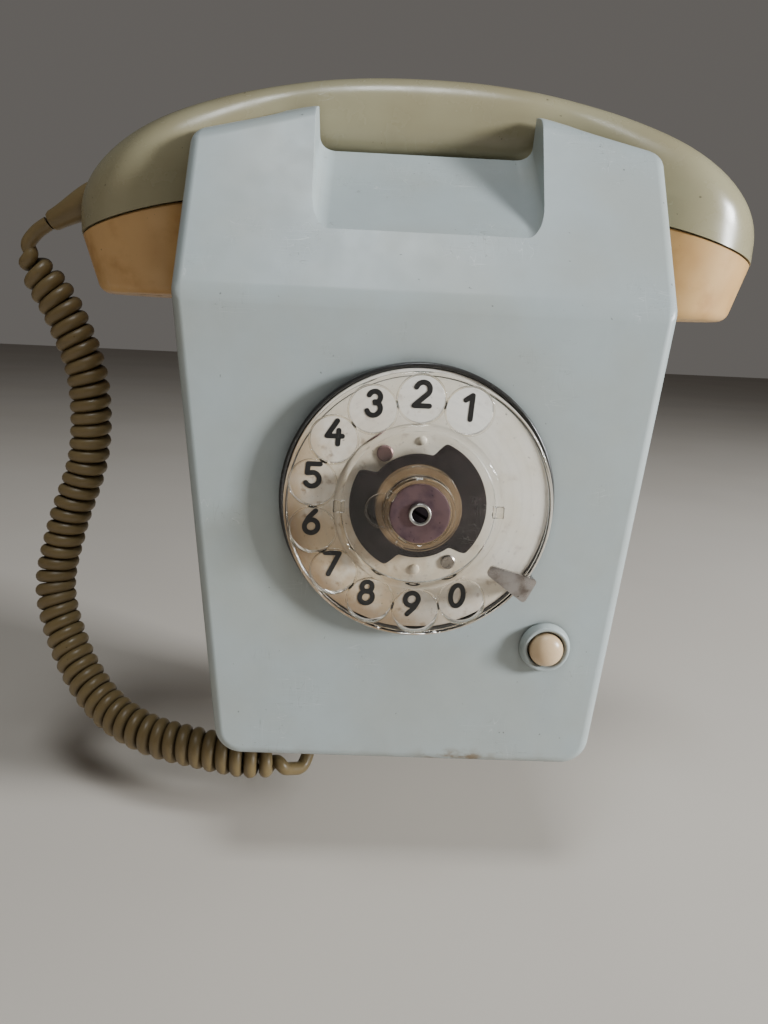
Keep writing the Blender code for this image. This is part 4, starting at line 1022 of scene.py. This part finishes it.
def build_handset():
    shell = new_piece("handset_body", loft([handset_section(x, 96) for x in handset_stations()]), 50)
    place_piece(shell, "handset", "handset_plastic", "handset_shell")
    build_caps()
    start = Vector((-98.5, -HANDSET_DEPTH, up(171.5)))
    tip = Vector((-121.5, -HANDSET_DEPTH, up(159.0)))
    shares = [i / 24 for i in range(25)]
    radii = [5.2 - 1.9 * smoothstep(share, 0.35, 1.0) for share in shares]
    radii[-1] -= 0.5
    points = [start.lerp(tip, share) for share in shares]
    boot = new_piece("boot", tube(points, radii, 40), 50)
    place_piece(boot, "handset", "cord_rubber", "cord_boot")


# ---------------------------------------------------------------- cord


def frames_along(path):
    """Each point of a path with two directions across it, kept from twisting."""
    points = [Vector(p) for p in path]
    side = Vector((0, 1, 0))
    frames = []
    for i, point in enumerate(points):
        ahead = points[min(i + 1, len(points) - 1)] - points[max(i - 1, 0)]
        ahead.normalize()
        side = (side - ahead * side.dot(ahead)).normalized()
        frames.append((point, side.copy(), ahead.cross(side)))
    return frames


def tube(path, radii, sides):
    """A closed round tube along a path."""
    rings = []
    for (point, side, other), radius in zip(frames_along(path), radii):
        rings.append([point + side * x + other * y for x, y in circle(radius, sides)])
    return loft(rings)


def cord_line():
    """The cord's centre line, with how much of the full coil it has at each point."""
    knots = [
        (-122.2, -31, 158.6, 0),
        (-126.6, -31, 155.4, 0),
        (-129.6, -31, 150.8, 0.05),
        (-128.4, -29, 144.8, 0.6),
        (-125.6, -28, 140.0, 0.9),
        (-119.7, -27, 129.0, 1),
        (-113.4, -26, 107.9, 1),
        (-114.2, -26, 81.2, 1),
        (-122.2, -28, 55.4, 1),
        (-126.6, -31, 31.6, 1),
        (-118.9, -38, 9.7, 1),
        (-105.2, -47, -5.5, 1),
        (-87.8, -55, -12.3, 1),
        (-66.6, -59, -15.5, 1),
        (-50.1, -60, -18.0, 0.9),
        (-39.6, -58, -22.0, 0.15),
        (-32.9, -52, -24.5, 0),
        (CORD_ENTRY_X, -CORD_ENTRY_DEPTH, -12.0, 0),
        (CORD_ENTRY_X, -CORD_ENTRY_DEPTH, 8.0, 0),
    ]
    return [(x, y, up(height), coil) for x, y, height, coil in smooth_path(knots, 40)]


def build_cord():
    line = cord_line()
    frames = frames_along([p[:3] for p in line])
    coil_points = []
    phase = 0.0
    step_length = COIL_PITCH / 28
    travelled = 0.0
    for i in range(1, len(line)):
        length = (frames[i][0] - frames[i - 1][0]).length
        pieces = max(1, math.ceil(length / step_length))
        for j in range(pieces):
            share = j / pieces
            point = frames[i - 1][0].lerp(frames[i][0], share)
            side = frames[i - 1][1].lerp(frames[i][1], share)
            other = frames[i - 1][2].lerp(frames[i][2], share)
            coil = max(0.0, min(1.0, line[i - 1][3] + share * (line[i][3] - line[i - 1][3])))
            travelled += length / pieces
            tightness = 0.45 + 0.55 * coil
            phase += tightness * 2 * math.pi * length / pieces / COIL_PITCH
            reach = COIL_MEAN_RADIUS * coil
            coil_points.append(point + side * reach * math.cos(phase) + other * reach * math.sin(phase))
    cord = new_piece("coiled_cord", tube(coil_points, [CORD_RADIUS] * len(coil_points), 14), 60)
    cord.data.materials.append(MATERIALS["cord_rubber"])
    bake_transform(cord)
    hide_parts("coil_cord")


# ---------------------------------------------------------------- the CAD nodes that are kept


def dress_nodes(frame):
    for entry in frame["record"]["subparts"]:
        node = frame["nodes"][entry["node"]]
        if node.hide_render:
            continue
        slot = entry["material_slot"]
        node.data.materials.clear()
        node.data.materials.append(MATERIALS[slot])
        if entry["node"] in BEVELLED:
            node.modifiers.new("weld", "WELD").merge_threshold = 0.00001
            edges = node.modifiers.new("edges", "BEVEL")
            edges.width = 0.3 * MM
            edges.segments = 2
            edges.limit_method = "ANGLE"
            edges.angle_limit = math.radians(50)
            edges.harden_normals = True


BEVELLED = ("wall_plate", "transformer", "terminal_block", "hook_switch", "button_switch", "circuit_board")


# ---------------------------------------------------------------- stage


def build_stage():
    floor = bpy.data.meshes.new("floor")
    half = 4.0
    z = up(FLOOR_HEIGHT) * MM
    corners = [(-half, -half, z), (half, -half, z), (half, half, z), (-half, half, z)]
    floor.from_pydata(corners, [], [(0, 1, 2, 3)])
    floor = bpy.data.objects.new("floor", floor)
    bpy.context.scene.collection.objects.link(floor)
    shade = Shade("floor")
    grain = shade.band(shade.noise(300, 3), 0.3, 0.7)
    floor.data.materials.append(shade.finish(shade.mix(grain, (0.66, 0.60, 0.53), (0.62, 0.56, 0.49)), 0.7))


def area_light(name, place, size, power, colour, target=(0, -0.05, 0)):
    light = bpy.data.lights.new(name, "AREA")
    light.shape = "RECTANGLE"
    light.size, light.size_y = size
    light.energy = power
    light.color = colour
    lamp = bpy.data.objects.new(name, light)
    lamp.location = place
    aim = Vector(target) - Vector(place)
    lamp.rotation_euler = aim.to_track_quat("-Z", "Y").to_euler()
    bpy.context.scene.collection.objects.link(lamp)


def light_scene():
    """A window at the right and a little in front, a weaker sky above, and a warm room. The backdrop seen
    by the camera is paler than the light that it gives."""
    area_light("window", (1.2, -0.58, 0.34), (0.25, 0.28), 31, (0.93, 0.97, 1.0))
    area_light("sky", (0.0, -0.45, 1.4), (0.4, 0.4), 8, (0.90, 0.96, 1.0))
    area_light("room", (-1.2, -0.9, 0.1), (1.0, 1.0), 0.8, (1.0, 0.80, 0.58))
    world = bpy.data.worlds.new("world")
    bpy.context.scene.world = world
    world.use_nodes = True
    nodes, links = world.node_tree.nodes, world.node_tree.links
    background = nodes["Background"]
    background.inputs["Color"].default_value = (0.80, 0.75, 0.70, 1)
    rays = nodes.new("ShaderNodeLightPath")
    strength = nodes.new("ShaderNodeMapRange")
    strength.inputs["To Min"].default_value = 0.08
    strength.inputs["To Max"].default_value = 0.16
    links.new(rays.outputs["Is Camera Ray"], strength.inputs["Value"])
    links.new(strength.outputs[0], background.inputs["Strength"])


def add_camera():
    turn = (
        Matrix.Rotation(CAMERA_ROLL, 4, "Y")
        @ Matrix.Rotation(CAMERA_PITCH, 4, "X")
        @ Matrix.Rotation(CAMERA_YAW, 4, "Z")
        @ Matrix.Rotation(math.radians(90), 4, "X")
    )
    data = bpy.data.cameras.new("camera")
    data.lens = CAMERA_LENS
    data.sensor_width = 36
    data.sensor_fit = "AUTO"
    data.clip_start = 0.01
    camera = bpy.data.objects.new("camera", data)
    camera.matrix_world = Matrix.Translation(Vector(CAMERA_PLACE) * MM) @ turn
    bpy.context.scene.collection.objects.link(camera)
    bpy.context.scene.camera = camera


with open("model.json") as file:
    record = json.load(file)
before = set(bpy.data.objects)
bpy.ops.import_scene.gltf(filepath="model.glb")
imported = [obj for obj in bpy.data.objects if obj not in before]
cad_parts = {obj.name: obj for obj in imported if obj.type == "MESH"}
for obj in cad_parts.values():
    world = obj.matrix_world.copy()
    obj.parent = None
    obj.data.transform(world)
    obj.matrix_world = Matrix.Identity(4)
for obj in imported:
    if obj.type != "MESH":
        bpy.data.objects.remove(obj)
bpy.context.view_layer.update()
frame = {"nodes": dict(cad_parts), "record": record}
MATERIALS = make_materials()
build_case()
build_button()
build_dial_ring()
build_digits()
build_finger_wheel()
build_dial_centre()
build_finger_stop()
build_handset()
build_cord()
dress_nodes(frame)
build_stage()
light_scene()
add_camera()
